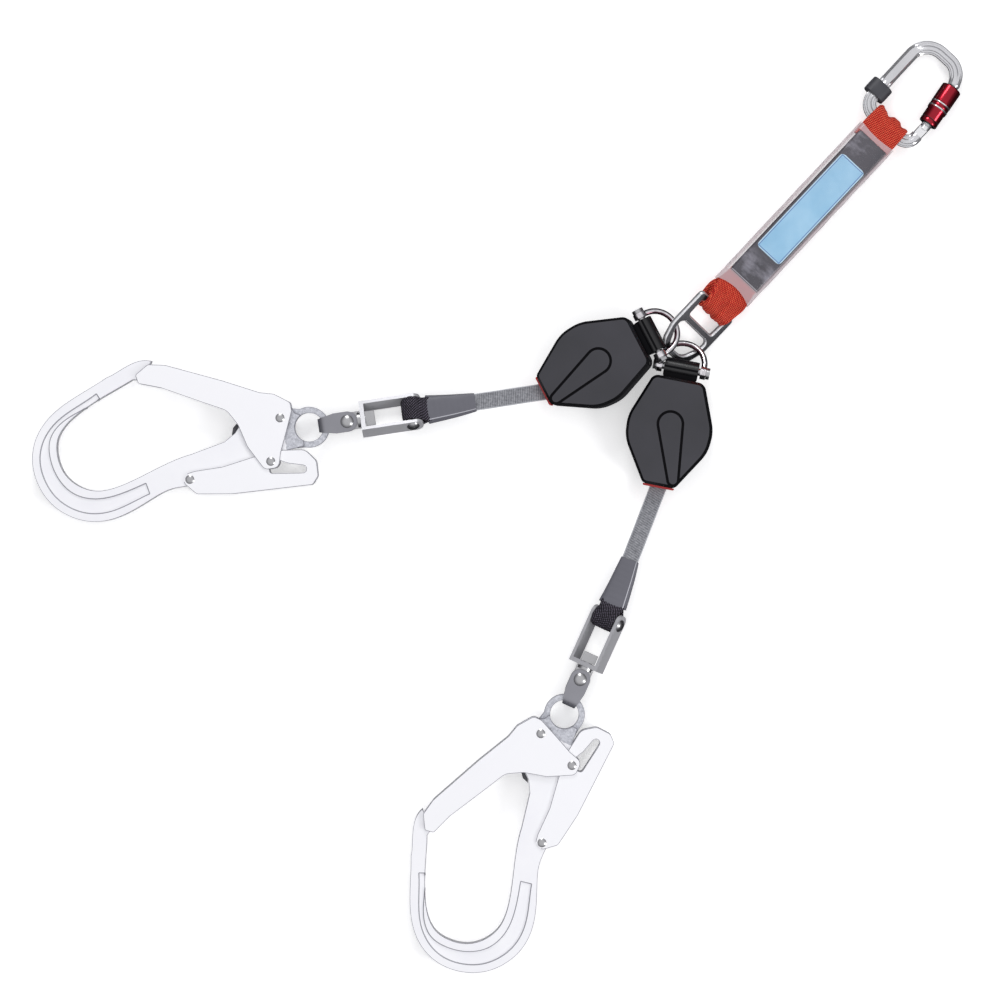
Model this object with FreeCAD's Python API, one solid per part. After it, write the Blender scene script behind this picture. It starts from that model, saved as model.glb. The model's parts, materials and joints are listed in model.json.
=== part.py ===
import FreeCAD, Part
import math
import os

# Twin-leg shock absorbing lanyard, lying flat as it is laid out for inspection. Millimetres.
# +Z is up from the surface it lies on, +Y runs along the energy absorber towards the carabiner,
# and the origin is the middle of the footprint, on that surface.
# Every sub-assembly is modelled in a frame of its own and then laid in place.

V = FreeCAD.Vector
Z_AXIS = V(0, 0, 1)

# ---- driving dimensions -------------------------------------------------------------------------
ABSORBER_Z = 14.0          # middle of the absorber pack above the surface
LEG_Z = 12.6               # middle of the hooks and swivels above the surface

# carabiner
ROD_R = 5.5                # aluminium rod
CARABINER_TILT = -5.5      # the gate end rests lower than the webbing
UPPER_BAR_Y = 95.0         # bar of the carabiner inside the upper loop
GATE_R = 4.8
HINGE = V(22.5, 23.0, 0)   # gate pin, from the middle of the bar
GATE_YAW = 98.4            # direction of the gate from its pin
GATE_LENGTH = 34.0
SLEEVE_R = 8.6
SLEEVE_FROM, SLEEVE_TO = 1.5, 38.0

# energy absorber
WEB_W = 32.0               # tear webbing
LOWER_LOOP_W = 29.0        # gathered to pass the slot of the link
LOWER_LOOP_FROM = -93.5    # where the lower loop is free of the sleeve and turns with the link
WEB_T = 2.4
LOWER_BAR_Y = -109.0       # bar of the connector link inside the lower loop
COVER_LENGTH, COVER_W, COVER_T = 156.0, 30.6, 22.0
SLEEVE_W, SLEEVE_T = 37.0, 27.0
SLEEVE_LOW, SLEEVE_HIGH = -91.0, 84.0
SLEEVE_X = -1.0

# connector link, from the middle of its webbing bar
LINK_AT = V(-1.9, LOWER_BAR_Y, 16.9)
LINK_T = 4.8
LINK_W = 43.6
LINK_TILT = V(1.8, 34.8, -0.3)     # turns about X, Y and Z, degrees: one rail rests high

# shackles and reels, from the middle of the shackle bolt
BOLT_R = 3.0
SHACKLE_HALF = 18.0        # middle of each leg from the centre line
SHACKLE_ROD_R = 2.4
SHACKLE_STRAIGHT = 5.4
EYE_HALF = 2.2              # half thickness of the flattened eyes
BARREL_R = 7.6
BARREL_HALF = 14.0
REEL_T = 16.0              # half thickness
REEL_WALL = 2.2
SPOOL_X = 50.0             # middle of the spool
SPOOL_R = 30.4
SPOOL_HALF = 9.0
POST_R = 6.0
EXIT_X = 97.0

# legs
STRAP_W, STRAP_T = 14.0, 2.0
LOOP_W = 21.5
LOOP_R = 8.0
LOOP_GAP = 1.2             # from the loop's end to the end sleeve
PIN_R = 4.0
SLEEVE_START, SLEEVE_END = 13.0, 53.0
YOKE_ROLL = 32.0
YOKE_HALF = 14.0
YOKE_T = 2.8
YOKE_H = 12.0
RIVET_X = -31.4            # clevis rivet from the eye of the hook
PIN_X = -84.4              # yoke pin from the eye of the hook

# hooks, from the middle of the eye, +x towards the bow
BODY_T = 7.5               # half thickness
CHANNEL_DEPTH = 1.5
LEVER_IN, LEVER_OUT = 7.8, 9.4
GATE_IN, GATE_OUT = 9.7, 11.3
EYE_R, EYE_RIM = 11.7, 16.7
EYE_T = 4.0
PIVOT_A = V(22.2, -10.7, 0)     # gate rivet
PIN_P = V(34.5, 23.4, 0)        # lock pin
PIVOT_B = V(102.0, 28.9, 0)     # lever rivet
LOCK_PIN_R = 2.6
RIVET_R = 3.0

# layout: (x, y, z) of each reel's bolt with its yaw, pitch and roll, and each hook's eye with yaws
SIDES = {
    "left": {
        "bolt": V(-25.2, -162.2, 27.0), "reel_yaw": 250.4, "roll": 4.7,
        "shackle_pitch": -15.8, "reel_pitch": 6.4,
        "eye": V(-177.3, -406.8, LEG_Z), "hook_yaw": 231.0, "swivel_yaw": 231.6, "head": -1,
    },
    "right": {
        "bolt": V(12.1, -164.3, 18.8), "reel_yaw": 302.0, "roll": 3.2,
        "shackle_pitch": -24.7, "reel_pitch": 1.1,
        "eye": V(135.2, -435.6, LEG_Z), "hook_yaw": 287.3, "swivel_yaw": 288.9, "head": 1,
    },
}


# ---- shape helpers ------------------------------------------------------------------------------
def corners(points, radii, closed):
    """Edges of a polygon or an open path whose corners are rounded with tangent arcs."""
    count = len(points)
    starts, ends, arcs = [], [], []
    for i, point in enumerate(points):
        rounded = radii[i] > 0 and (closed or 0 < i < count - 1)
        if not rounded:
            starts.append(point)
            ends.append(point)
            arcs.append(None)
            continue
        before = (points[i - 1] - point).normalize()
        after = (points[(i + 1) % count] - point).normalize()
        half = math.acos(max(-1.0, min(1.0, before.dot(after)))) / 2
        reach = radii[i] / math.tan(half)
        inward = (before + after).normalize()
        middle = point + inward * (radii[i] / math.sin(half) - radii[i])
        starts.append(point + before * reach)
        ends.append(point + after * reach)
        arcs.append(Part.Arc(starts[i], middle, ends[i]).toShape())
    edges = []
    for i in range(count):
        if arcs[i]:
            edges.append(arcs[i])
        last = i == count - 1
        if last and not closed:
            break
        following = starts[(i + 1) % count]
        if ends[i].distanceToPoint(following) > 1e-4:
            edges.append(Part.LineSegment(ends[i], following).toShape())
    return edges


def outline(points, radii=0.0, z=0.0):
    """Closed wire through (x, y) points, with one radius for all corners or one for each."""
    if not isinstance(radii, (list, tuple)):
        radii = [radii] * len(points)
    return Part.Wire(corners([V(x, y, z) for x, y in points], radii, True))


def prism(wire, low, high):
    face = Part.Face(wire)
    face.translate(V(0, 0, low - wire.BoundBox.ZMin))
    return face.extrude(V(0, 0, high - low))


def cylinder(radius, low, high, at=V(0, 0, 0), axis=Z_AXIS):
    return Part.makeCylinder(radius, high - low, at + axis * low, axis)


def box(x0, x1, y0, y1, z0, z1):
    return Part.makeBox(x1 - x0, y1 - y0, z1 - z0, V(x0, y0, z0))


def rod(points, radii, radius):
    """Round bar along an open path of straight runs and tangent arcs."""
    path = Part.Wire(corners(points, radii, False))
    direction = (points[1] - points[0]).normalize()
    section = Part.Wire(Part.Circle(points[0], direction, radius).toShape())
    return path.makePipeShell([section], True, True)


def hexagon(across, low, high, at, axis):
    """Hexagonal prism along an axis."""
    radius = across / math.sqrt(3)
    ring = [V(radius * math.cos(math.radians(60 * i)), radius * math.sin(math.radians(60 * i)), low)
            for i in range(6)]
    solid = Part.Face(Part.makePolygon(ring + [ring[0]])).extrude(V(0, 0, high - low))
    solid.Placement = FreeCAD.Placement(at, FreeCAD.Rotation(Z_AXIS, axis))
    return solid


def domed_head(radius, height, at, axis):
    """Rivet head: a low cap of a sphere."""
    ball_r = (radius ** 2 + height ** 2) / (2 * height)
    ball = Part.makeSphere(ball_r, at + axis * (height - ball_r))
    return ball.common(Part.makeCylinder(radius, height, at, axis))


def fused(first, *others):
    solid = first.multiFuse(list(others)) if others else first
    return solid.removeSplitter()


def laid(origin, yaw, pitch=0.0, roll=0.0):
    """Frame with local x turned by yaw, its +x end lowered by pitch, its +y side raised by roll."""
    turn = FreeCAD.Rotation(Z_AXIS, yaw)
    turn = turn.multiply(FreeCAD.Rotation(V(0, 1, 0), pitch))
    turn = turn.multiply(FreeCAD.Rotation(V(1, 0, 0), roll))
    return FreeCAD.Placement(origin, turn)


def heading(yaw):
    return V(math.cos(math.radians(yaw)), math.sin(math.radians(yaw)), 0)


# ---- carabiner ----------------------------------------------------------------------------------
def gate_frame():
    """Frame at the gate pin: local x along the gate, y towards the inside of the carabiner."""
    return laid(HINGE, GATE_YAW)


def carabiner_body():
    """D-shaped rod from the hinge block, round the bar and the spine, to the nose."""
    points = [V(22.5, 13, 0), V(22.5, 0, 0), V(-26, 0, 0), V(-26.3, 75.5, 0), V(10.3, 75.9, 0)]
    nose = HINGE + heading(GATE_YAW) * (SLEEVE_TO + 2.2)
    body = rod(points + [nose], [0, 9.5, 11, 18, 16, 0], ROD_R)
    tongue = cylinder(3.3, GATE_LENGTH + 0.5, SLEEVE_TO + 4, HINGE, heading(GATE_YAW))
    block = prism(outline([(18, 12.5), (27, 12.5), (27, 27.4), (18, 27.4)], [0, 0, 4.4, 4.4]), -2.2, 2.2)
    block = block.cut(cylinder(1.55, -6, 6, HINGE))
    return fused(body, tongue, block)


def carabiner_gate():
    gate = cylinder(GATE_R, -4.6, GATE_LENGTH, V(0, 0, 0), V(1, 0, 0))
    gate = gate.cut(box(-5, 7.5, -6, 6, -2.5, 2.5))
    gate = gate.cut(cylinder(1.5, -6, 6))
    gate = gate.cut(cylinder(1.6, 7.4, GATE_LENGTH + 1, V(0, 0, 0), V(1, 0, 0)))
    bottom = box(-5, 0, -6, 6, -6, 6).cut(cylinder(4.7, -7, 7))
    return gate.cut(bottom)


def locking_sleeve():
    """Turned sleeve over the gate, larger towards the nose, with a slot that clears the nose."""
    x = V(1, 0, 0)
    sleeve = cylinder(SLEEVE_R - 0.7, SLEEVE_FROM, 15, V(0, 0, 0), x)
    sleeve = sleeve.fuse(cylinder(SLEEVE_R, 15, SLEEVE_TO, V(0, 0, 0), x))
    for at in (16.0, 20.5):
        ring = cylinder(SLEEVE_R + 0.2, at, at + 1.6, V(0, 0, 0), x)
        sleeve = sleeve.fuse(ring)
    sleeve = sleeve.cut(cylinder(GATE_R + 0.08, 0, 40, V(0, 0, 0), x))
    slot = box(GATE_LENGTH - 1.0, 40, -10, 0, -3.8, 3.8)
    notch = box(0, 5.5, -10, 0, -3.4, 3.4)
    return sleeve.cut(slot).cut(notch).removeSplitter()


def gate_spring():
    """Small compression spring and plunger in the bore of the gate."""
    x = V(1, 0, 0)
    plunger = cylinder(1.3, 9.0, 15.5, V(0, 0, 0), x)
    coils = [Part.makeTorus(1.0, 0.28, V(16.2 + 1.3 * i, 0, 0), x) for i in range(12)]
    return Part.makeCompound([plunger] + coils)


def keeper():
    """Rubber band on the spine that keeps the webbing at the narrow end."""
    shape = prism(outline([(-10, -8.5), (10, -8.5), (10, 8.5), (-10, 8.5)], 7.5), 0, 12.5)
    shape = shape.cut(cylinder(ROD_R + 0.05, -1, 14))
    shape.Placement = FreeCAD.Placement(V(-26.1, 23.4, 0), FreeCAD.Rotation(V(1, 0, 0), 90))
    return shape


# ---- energy absorber ----------------------------------------------------------------------------
def loop_profile(bar_y, sign, pack_y, inner_r, width):
    """Side profile of a webbing loop in (y, z), from the pack round the bar and back."""
    outer_r = inner_r + WEB_T

    def side(radius, spread):
        start = V(0, pack_y, -spread)
        end = V(0, pack_y, spread)
        low = V(0, bar_y, -radius)
        high = V(0, bar_y, radius)
        tip = V(0, bar_y + sign * radius, 0)
        edges = [Part.LineSegment(start, low).toShape(), Part.Arc(low, tip, high).toShape()]
        edges.append(Part.LineSegment(high, end).toShape())
        edges.append(Part.LineSegment(end, start).toShape())
        return Part.Face(Part.Wire(edges)).extrude(V(width, 0, 0))

    return side(outer_r, outer_r - 1.5).cut(side(inner_r, inner_r - 1.5))


def tear_webbing():
    """One continuous strap: the upper loop, the folded tear pack and the lower loop."""
    half = COVER_LENGTH / 2 - 3
    loop_from = COVER_LENGTH / 2 + 0.5
    upper = loop_profile(UPPER_BAR_Y, 1, loop_from, 7.6, WEB_W)
    upper.translate(V(SLEEVE_X - WEB_W / 2, 0, ABSORBER_Z))
    lower = loop_profile(0, -1, LOWER_LOOP_FROM - LOWER_BAR_Y, 5.4, LOWER_LOOP_W)
    lower.translate(V(-LOWER_LOOP_W / 2, 0, 0))
    lower.Placement = link_frame().multiply(lower.Placement)
    pack = rounded_block(27.0, 2 * half, 18.8, 4.5)
    pack.translate(V(0, 0, ABSORBER_Z))
    neck = box(-11.5, 11.5, LOWER_LOOP_FROM - 2.5, loop_from + 2, ABSORBER_Z - 6, ABSORBER_Z + 6)
    return fused(pack, upper, lower, neck)


def rounded_block(width, length, thick, radius):
    """Block rounded along its length, centred on the origin."""
    half_w, half_t = width / 2, thick / 2
    section = outline([(-half_w, -half_t), (half_w, -half_t), (half_w, half_t), (-half_w, half_t)], radius)
    solid = prism(section, 0, length)
    solid.Placement = FreeCAD.Placement(V(0, length / 2, 0), FreeCAD.Rotation(V(1, 0, 0), 90))
    return solid


def inner_cover():
    """Film cover shrunk round the tear pack; open at both ends for the loops."""
    cover = rounded_block(COVER_W, COVER_LENGTH, COVER_T, 6.0)
    hollow = rounded_block(COVER_W - 2.4, COVER_LENGTH + 2, COVER_T - 2.4, 4.8)
    cover = cover.cut(hollow)
    cover.translate(V(0, 0, ABSORBER_Z))
    return cover


def label():
    plate = prism(outline([(-13, -49), (13, -49), (13, 54), (-13, 54)], 3.0), 0, 0.5)
    plate.translate(V(0, 0, ABSORBER_Z + COVER_T / 2 + 0.02))
    window = box(-9, 9, -60, 60, 0, 60)
    return plate.common(window)


def clear_sleeve():
    length = SLEEVE_HIGH - SLEEVE_LOW
    sleeve = rounded_block(SLEEVE_W, length, SLEEVE_T, 8.5)
    hollow = rounded_block(SLEEVE_W - 2.0, length + 2, SLEEVE_T - 2.0, 7.5)
    sleeve = sleeve.cut(hollow)
    sleeve.translate(V(SLEEVE_X, (SLEEVE_HIGH + SLEEVE_LOW) / 2, ABSORBER_Z))
    return sleeve


# ---- connector link -----------------------------------------------------------------------------
def link_frame():
    turn = FreeCAD.Rotation(Z_AXIS, LINK_TILT.z)
    turn = turn.multiply(FreeCAD.Rotation(V(1, 0, 0), LINK_TILT.x))
    turn = turn.multiply(FreeCAD.Rotation(V(0, 1, 0), LINK_TILT.y))
    return FreeCAD.Placement(LINK_AT, turn)


def connector_link():
    """Flat forged link: a webbing slot above, a crossbar, and a ring opening below."""
    w = LINK_W / 2
    slot_w = w - 6.4
    ring_w = w - 5.6
    outer = outline([(-w, 3.4), (w, 3.4), (w, -33), (0.68 * w, -53.5), (-0.68 * w, -53.5), (-w, -33)],
                    [4, 4, 20, 14, 14, 20])
    slot = outline([(-slot_w, -3.2), (slot_w, -3.2), (slot_w - 0.6, -18.6), (-slot_w + 0.6, -18.6)], 1.8)
    ring = outline([(-ring_w, -25), (ring_w, -25), (ring_w, -33), (0.53 * ring_w, -48.0),
                    (-0.53 * ring_w, -48.0), (-ring_w, -33)], [4, 4, 12, 9, 9, 12])
    half = LINK_T / 2
    link = prism(outer, -half, half).cut(prism(slot, -half - 1, half + 1))
    link = link.cut(prism(ring, -half - 1, half + 1))
    bevelled = [e for e in link.Edges if abs(abs(e.CenterOfMass.z) - half) < 1e-3]
    return link.makeFillet(1.9, bevelled)


# ---- shackles and reels -------------------------------------------------------------------------
def shackle():
    """Round U bar with flattened eyes on its two legs."""
    h = SHACKLE_HALF
    s = -SHACKLE_STRAIGHT
    apex = s - h
    points = [V(-1, -h, 0), V(apex, -h, 0), V(apex, h, 0), V(-1, h, 0)]
    shape = rod(points, [0, h - 0.01, h - 0.01, 0], SHACKLE_ROD_R)
    for side in (-1, 1):
        eye = cylinder(5.4, -EYE_HALF, EYE_HALF, V(0, side * h, 0), V(0, 1, 0))
        shape = shape.fuse(eye)
    bore = cylinder(BOLT_R + 0.05, -h - 6, h + 6, V(0, 0, 0), V(0, 1, 0))
    return shape.cut(bore).removeSplitter()


def shackle_bolt(head):
    """Bolt with a low round head, washer and thin hexagon nut; head is the side its head is on."""
    y = V(0, head, 0)
    face = SHACKLE_HALF + SHACKLE_ROD_R + 0.1
    bolt = cylinder(BOLT_R, -face - 3.0, face, V(0, 0, 0), y)
    bolt = bolt.fuse(cylinder(4.7, face, face + 2.8, V(0, 0, 0), y))
    washer = cylinder(4.7, face, face + 0.6, V(0, 0, 0), y * -1)
    nut = hexagon(8.0, face + 0.65, face + 2.9, V(0, 0, 0), y * -1)
    through = cylinder(BOLT_R, -face - 8, face + 8, V(0, 0, 0), y)
    return Part.makeCompound([bolt, washer.cut(through), nut.cut(through)])


REEL_HALF_OUTLINE = [(8.5, 21.0, 7.0), (45.5, 35.4, 32.0), (63.5, 34.2, 31.0), (97.0, 13.2, 5.0)]


def reel_outline(inset, z):
    """Six-sided housing outline, symmetric about the web, moved inwards by inset."""
    upper = [(x, y, r) for x, y, r in REEL_HALF_OUTLINE]
    lower = [(x, -y, r) for x, y, r in reversed(REEL_HALF_OUTLINE)]
    ring = upper + lower
    points, radii = [], []
    count = len(ring)
    for i, (x, y, r) in enumerate(ring):
        here = V(x, y, 0)
        before = (here - V(*ring[i - 1][:2], 0)).normalize()
        after = (V(*ring[(i + 1) % count][:2], 0) - here).normalize()
        normal_b = V(before.y, -before.x, 0)
        normal_a = V(after.y, -after.x, 0)
        middle = (normal_b + normal_a).normalize()
        moved = here + middle * (inset / middle.dot(normal_b))
        points.append((moved.x, moved.y))
        radii.append(max(r - inset, 0.6))
    return outline(points, radii, z)


def reel_solid(inset, half, bevel):
    """One half of the housing's form: a straight rim, then a bevel to the flat panel."""
    run, rise = bevel
    rim = prism(reel_outline(inset, 0), 0, half - rise)
    low = reel_outline(inset, half - rise)
    high = reel_outline(inset + run, half)
    slope = Part.makeLoft([low, high], True, True)
    return rim.fuse(slope).removeSplitter()


SCREWS = [(17.5, 14.5), (17.5, -14.5), (83.5, 14.2), (83.5, -14.2)]
FRONT_BEVEL = (2.2, 2.8)    # run and rise
BACK_BEVEL = (5.5, 6.0)
TEARDROP = ((46.0, 0.2, 9.1), (90.6, 11.0, 3.2))    # centre and radius of its two ends
GROOVE_W = 2.2
GROOVE_DEPTH = 0.9
EXIT_POCKET = (89.5, 98.0, -11.5, 11.5, -5.6, 5.6)


def half_shell(bevel):
    """Upper half of the housing, hollow, open at the web's exit."""
    outer = reel_solid(0.0, REEL_T, bevel)
    inner = reel_solid(REEL_WALL, REEL_T - REEL_WALL, bevel)
    shell = outer.cut(inner)
    return shell.cut(box(*EXIT_POCKET))


def teardrop(grow):
    """Prism on the front panel: a circle run out to a small round tip at the exit's corner."""
    (ax, ay, ar), (bx, by, br) = TEARDROP
    dx, dy = bx - ax, by - ay
    along = math.atan2(dy, dx)
    spread = math.acos((ar - br) / math.hypot(dx, dy))
    tangents = []
    for x, y, r, turn in ((ax, ay, ar, 1), (bx, by, br, 1), (bx, by, br, -1), (ax, ay, ar, -1)):
        angle = along + turn * spread
        tangents.append((x + (r + grow) * math.cos(angle), y + (r + grow) * math.sin(angle)))
    low, high = REEL_T - GROOVE_DEPTH, REEL_T + 1
    shape = prism(outline(tangents), low, high)
    for x, y, r in TEARDROP:
        shape = shape.fuse(cylinder(r + grow, low, high, V(x, y, 0)))
    return shape.removeSplitter()


def front_shell():
    """Front cover with a groove round its teardrop panel, and screw bosses."""
    shell = half_shell(FRONT_BEVEL)
    bosses = []
    for x, y in SCREWS:
        boss = cylinder(3.3, 0.1, REEL_T - 1.5, V(x, y, 0)).cut(cylinder(1.4, 0, 11, V(x, y, 0)))
        bosses.append(boss)
    shell = shell.cut(teardrop(GROOVE_W).cut(teardrop(0.0)))
    shell = fused(shell, *bosses)
    return shell.cut(box(*EXIT_POCKET))


def back_shell():
    """Back cover with the barrel for the shackle bolt, the spool post and the screw holes."""
    shell = half_shell(BACK_BEVEL).mirror(V(0, 0, 0), Z_AXIS)
    barrel = cylinder(BARREL_R, -BARREL_HALF, BARREL_HALF, V(0, 0, 0), V(0, 1, 0))
    neck = box(3, 9.5, -13.5, 13.5, -6.5, -0.1).fuse(box(3, 8.3, -13.5, 13.5, -0.1, 6.0))
    post = cylinder(POST_R, -REEL_T + 1.5, 12.8, V(SPOOL_X, 0, 0))
    parts = [barrel, neck, post]
    for x, y in SCREWS:
        parts.append(cylinder(3.3, -REEL_T + 1.5, -0.1, V(x, y, 0)))
    shell = fused(shell, *parts)
    shell = shell.cut(cylinder(BOLT_R + 0.06, -20, 20, V(0, 0, 0), V(0, 1, 0)))
    for x, y in SCREWS:
        shell = shell.cut(cylinder(1.65, -20, 1, V(x, y, 0)))
        shell = shell.cut(cylinder(3.0, -20, -REEL_T + 2.2, V(x, y, 0)))
    return shell


def housing_screws():
    screws = []
    for x, y in SCREWS:
        shank = cylinder(1.38, -REEL_T + 1.5, 9.0, V(x, y, 0))
        head = cylinder(2.8, -REEL_T + 0.3, -REEL_T + 2.15, V(x, y, 0))
        screws.append(shank.fuse(head).removeSplitter())
    return Part.makeCompound(screws)


def exit_guide():
    """Plastic mouth that the strap runs out of."""
    guide = box(89.8, 98.6, -11.2, 11.2, -5.3, 5.3)
    lip = prism(outline([(96.2, -12.8), (98.9, -12.8), (98.9, 12.8), (96.2, 12.8)], 1.0), -6.8, 6.8)
    lip = lip.cut(box(90, 97.3, -20, 20, -20, 20))
    mouth = box(85, 100, -8.6, 8.6, -1.9, 1.9)
    return fused(guide, lip).cut(mouth)


def spool():
    hub = cylinder(10.0, -SPOOL_HALF, SPOOL_HALF, V(SPOOL_X, 0, 0))
    low = cylinder(SPOOL_R, -SPOOL_HALF, -7.4, V(SPOOL_X, 0, 0))
    high = cylinder(SPOOL_R, 7.4, SPOOL_HALF, V(SPOOL_X, 0, 0))
    body = fused(hub, low, high)
    return body.cut(cylinder(POST_R + 0.08, -20, 20, V(SPOOL_X, 0, 0)))


def wound_webbing():
    """The webbing wound on the spool, drawn as its outer shape."""
    coil = cylinder(28.6, -7.1, 7.1, V(SPOOL_X, 0, 0))
    return coil.cut(cylinder(10.05, -9, 9, V(SPOOL_X, 0, 0)))


def main_spring():
    """Flat spiral spring between the spool and the front cover, as three of its turns."""
    turns = []
    for radius in (13.0, 19.0, 25.0):
        ring = cylinder(radius, 9.6, 12.4, V(SPOOL_X, 0, 0))
        turns.append(ring.cut(cylinder(radius - 0.8, 9, 13, V(SPOOL_X, 0, 0))))
    arm = box(SPOOL_X + 6.3, SPOOL_X + 24.9, -0.4, 0.4, 9.6, 12.4)
    return fused(arm, *turns)


# ---- legs ---------------------------------------------------------------------------------------
# strap frame: origin at the yoke pin, local x back towards the reel's exit
def strap(reach):
    return box(SLEEVE_START + 1, reach - 2.5, -STRAP_W / 2, STRAP_W / 2, -STRAP_T / 2, STRAP_T / 2)


def end_sleeve():
    """Shrunk sleeve over the stitched end, tapering towards the reel."""
    def section(x, width, thick, radius):
        w, t = width / 2, thick / 2
        ring = outline([(-w, -t), (w, -t), (w, t), (-w, t)], radius)
        ring.Placement = FreeCAD.Placement(V(x, 0, 0), FreeCAD.Rotation(V(1, 1, 1), 120))
        return ring

    body = Part.makeLoft([section(SLEEVE_START, 21.5, 9.5, 4.2), section(SLEEVE_START + 14, 20.0, 8.0, 3.6),
                          section(SLEEVE_END, 16.0, 4.6, 2.0)], True, True)
    w, t = STRAP_W / 2 + 0.1, STRAP_T / 2 + 0.1
    return body.cut(box(SLEEVE_START - 1, SLEEVE_END + 1, -w, w, -t, t))


def webbing_loop():
    """Black webbing sewn round the yoke pin; its width lies along the pin."""
    end_x = SLEEVE_START - LOOP_GAP
    tangent = math.asin((LOOP_R - 4.2) / end_x)
    start = V(LOOP_R * math.sin(tangent), LOOP_R * math.cos(tangent), 0)
    mirrored = V(start.x, -start.y, 0)
    end = V(end_x, 4.2, 0)
    edges = [Part.LineSegment(V(end.x, -end.y, 0), mirrored).toShape()]
    edges.append(Part.Arc(mirrored, V(-LOOP_R, 0, 0), start).toShape())
    edges.append(Part.LineSegment(start, end).toShape())
    edges.append(Part.LineSegment(end, V(end.x, -end.y, 0)).toShape())
    solid = prism(Part.Wire(edges), -LOOP_W / 2, LOOP_W / 2)
    solid = solid.cut(cylinder(PIN_R + 0.35, -20, 20))
    solid.Placement = FreeCAD.Placement(V(0, 0, 0), FreeCAD.Rotation(V(1, 0, 0), 90 - YOKE_ROLL))
    return solid


# swivel frame: origin at the eye of the hook, local x towards the bow of the hook
def yoke():
    """U of flat plate whose base carries the swivel stem and whose arms carry the pin."""
    base_x = -46.2
    end_x = PIN_X - 8.5
    h = YOKE_H / 2
    arms = []
    for side in (-1, 1):
        y0, y1 = sorted((side * YOKE_HALF, side * (YOKE_HALF - YOKE_T)))
        profile = outline([(end_x, -h), (base_x + 3.4, -h), (base_x + 3.4, h), (end_x, h)], [5.8, 0, 0, 5.8])
        arm = prism(profile, 0, y1 - y0)
        arm.Placement = FreeCAD.Placement(V(0, y1, 0), FreeCAD.Rotation(V(1, 0, 0), 90))
        arms.append(arm)
    base = box(base_x, base_x + 3.6, -YOKE_HALF, YOKE_HALF, -h, h)
    shape = fused(base, *arms)
    shape = shape.cut(cylinder(PIN_R + 0.06, -20, 20, V(PIN_X, 0, 0), V(0, 1, 0)))
    return shape.cut(cylinder(4.06, -50, -40, V(0, 0, 0), V(1, 0, 0)))


def yoke_pin():
    y = V(0, 1, 0)
    pin = cylinder(PIN_R, -YOKE_HALF - 1.0, YOKE_HALF + 0.1, V(PIN_X, 0, 0), y)
    head = domed_head(5.2, 2.2, V(PIN_X, YOKE_HALF + 0.05, 0), y)
    tail = domed_head(4.8, 1.4, V(PIN_X, -YOKE_HALF - 0.05, 0), y * -1)
    return fused(pin, head, tail)


def swivel_eye():
    """Tab held by the clevis rivet, collar, stem through the yoke and square nut inside it."""
    x = V(1, 0, 0)
    tab = prism(outline([(-42.0, -7.2), (-24.2, -7.2), (-24.2, 7.2), (-42.0, 7.2)], [0, 7.1, 7.1, 0]), -3, 3)
    tab = tab.cut(cylinder(RIVET_R + 0.06, -10, 10, V(RIVET_X, 0, 0)))
    collar = cylinder(7.0, -42.3, -39.4, V(0, 0, 0), x)
    collar = collar.cut(box(-39.9, -30, -10, 10, -10, 10))
    stem = cylinder(4.0, -52.0, -41.0, V(0, 0, 0), x)
    nut = box(-54.2, -46.6, -6.0, 6.0, -4.6, 4.6)
    return fused(tab, collar, stem, nut)


def clevis():
    """Plate folded through the eye of the hook and riveted over the swivel tab."""
    inner, outer = 4.35, 6.55
    plate = prism(outline([(-39.6, -8.2), (-21, -8.2), (-7.6, -5.4), (-7.6, 5.4), (-21, 8.2), (-39.6, 8.2)],
                          [8.0, 4, 0, 0, 4, 8.0]), -outer, outer)
    gap = box(-60, -10.0, -20, 20, -inner, inner)
    shape = plate.cut(gap)
    rounded = cylinder(outer, -10, 10, V(-7.6 - outer + 0.4, 0, 0), V(0, 1, 0))
    keep = box(-60, -14, -20, 20, -20, 20).fuse(rounded)
    shape = shape.common(keep)
    return shape.cut(cylinder(RIVET_R + 0.02, -10, 10, V(RIVET_X, 0, 0)))


def clevis_rivet():
    shank = cylinder(RIVET_R, -6.6, 6.6, V(RIVET_X, 0, 0))
    top = domed_head(5.4, 1.9, V(RIVET_X, 0, 6.58), Z_AXIS)
    low = domed_head(5.0, 1.5, V(RIVET_X, 0, -6.58), Z_AXIS * -1)
    return fused(shank, top, low)


# ---- hooks --------------------------------------------------------------------------------------
def spline(points):
    curve = Part.BSplineCurve()
    curve.interpolate([V(x, y, 0) for x, y in points])
    return curve.toShape()


def line(a, b):
    return Part.LineSegment(V(a[0], a[1], 0), V(b[0], b[1], 0)).toShape()


NOSE_TIP = (119.8, -71.0)
NOSE_HEEL = (127.0, -56.0)
BACK = [(112.0, 34.2), (122, 35.6), (137, 41.5), (154, 48.6), (170, 52.6), (187, 52.0), (203, 45.5),
        (217, 33), (225.5, 16), (227.3, -4.7), (221, -23), (208, -37.5), (190, -48.4), (158.5, -62.6)]
NOSE_OUT = [(158.5, -62.6), (138, -70.6), (128, -72.6), NOSE_TIP]
INSIDE = [(137.2, -58.0), (160, -48.6), (184.4, -37.0), (197, -28), (204.5, -17.5), (206.2, -4),
          (201.5, 12), (192, 22), (179, 27.6), (165, 27.4), (150, 23.8), (123.8, 15.0), (98, 8.6)]


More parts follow.
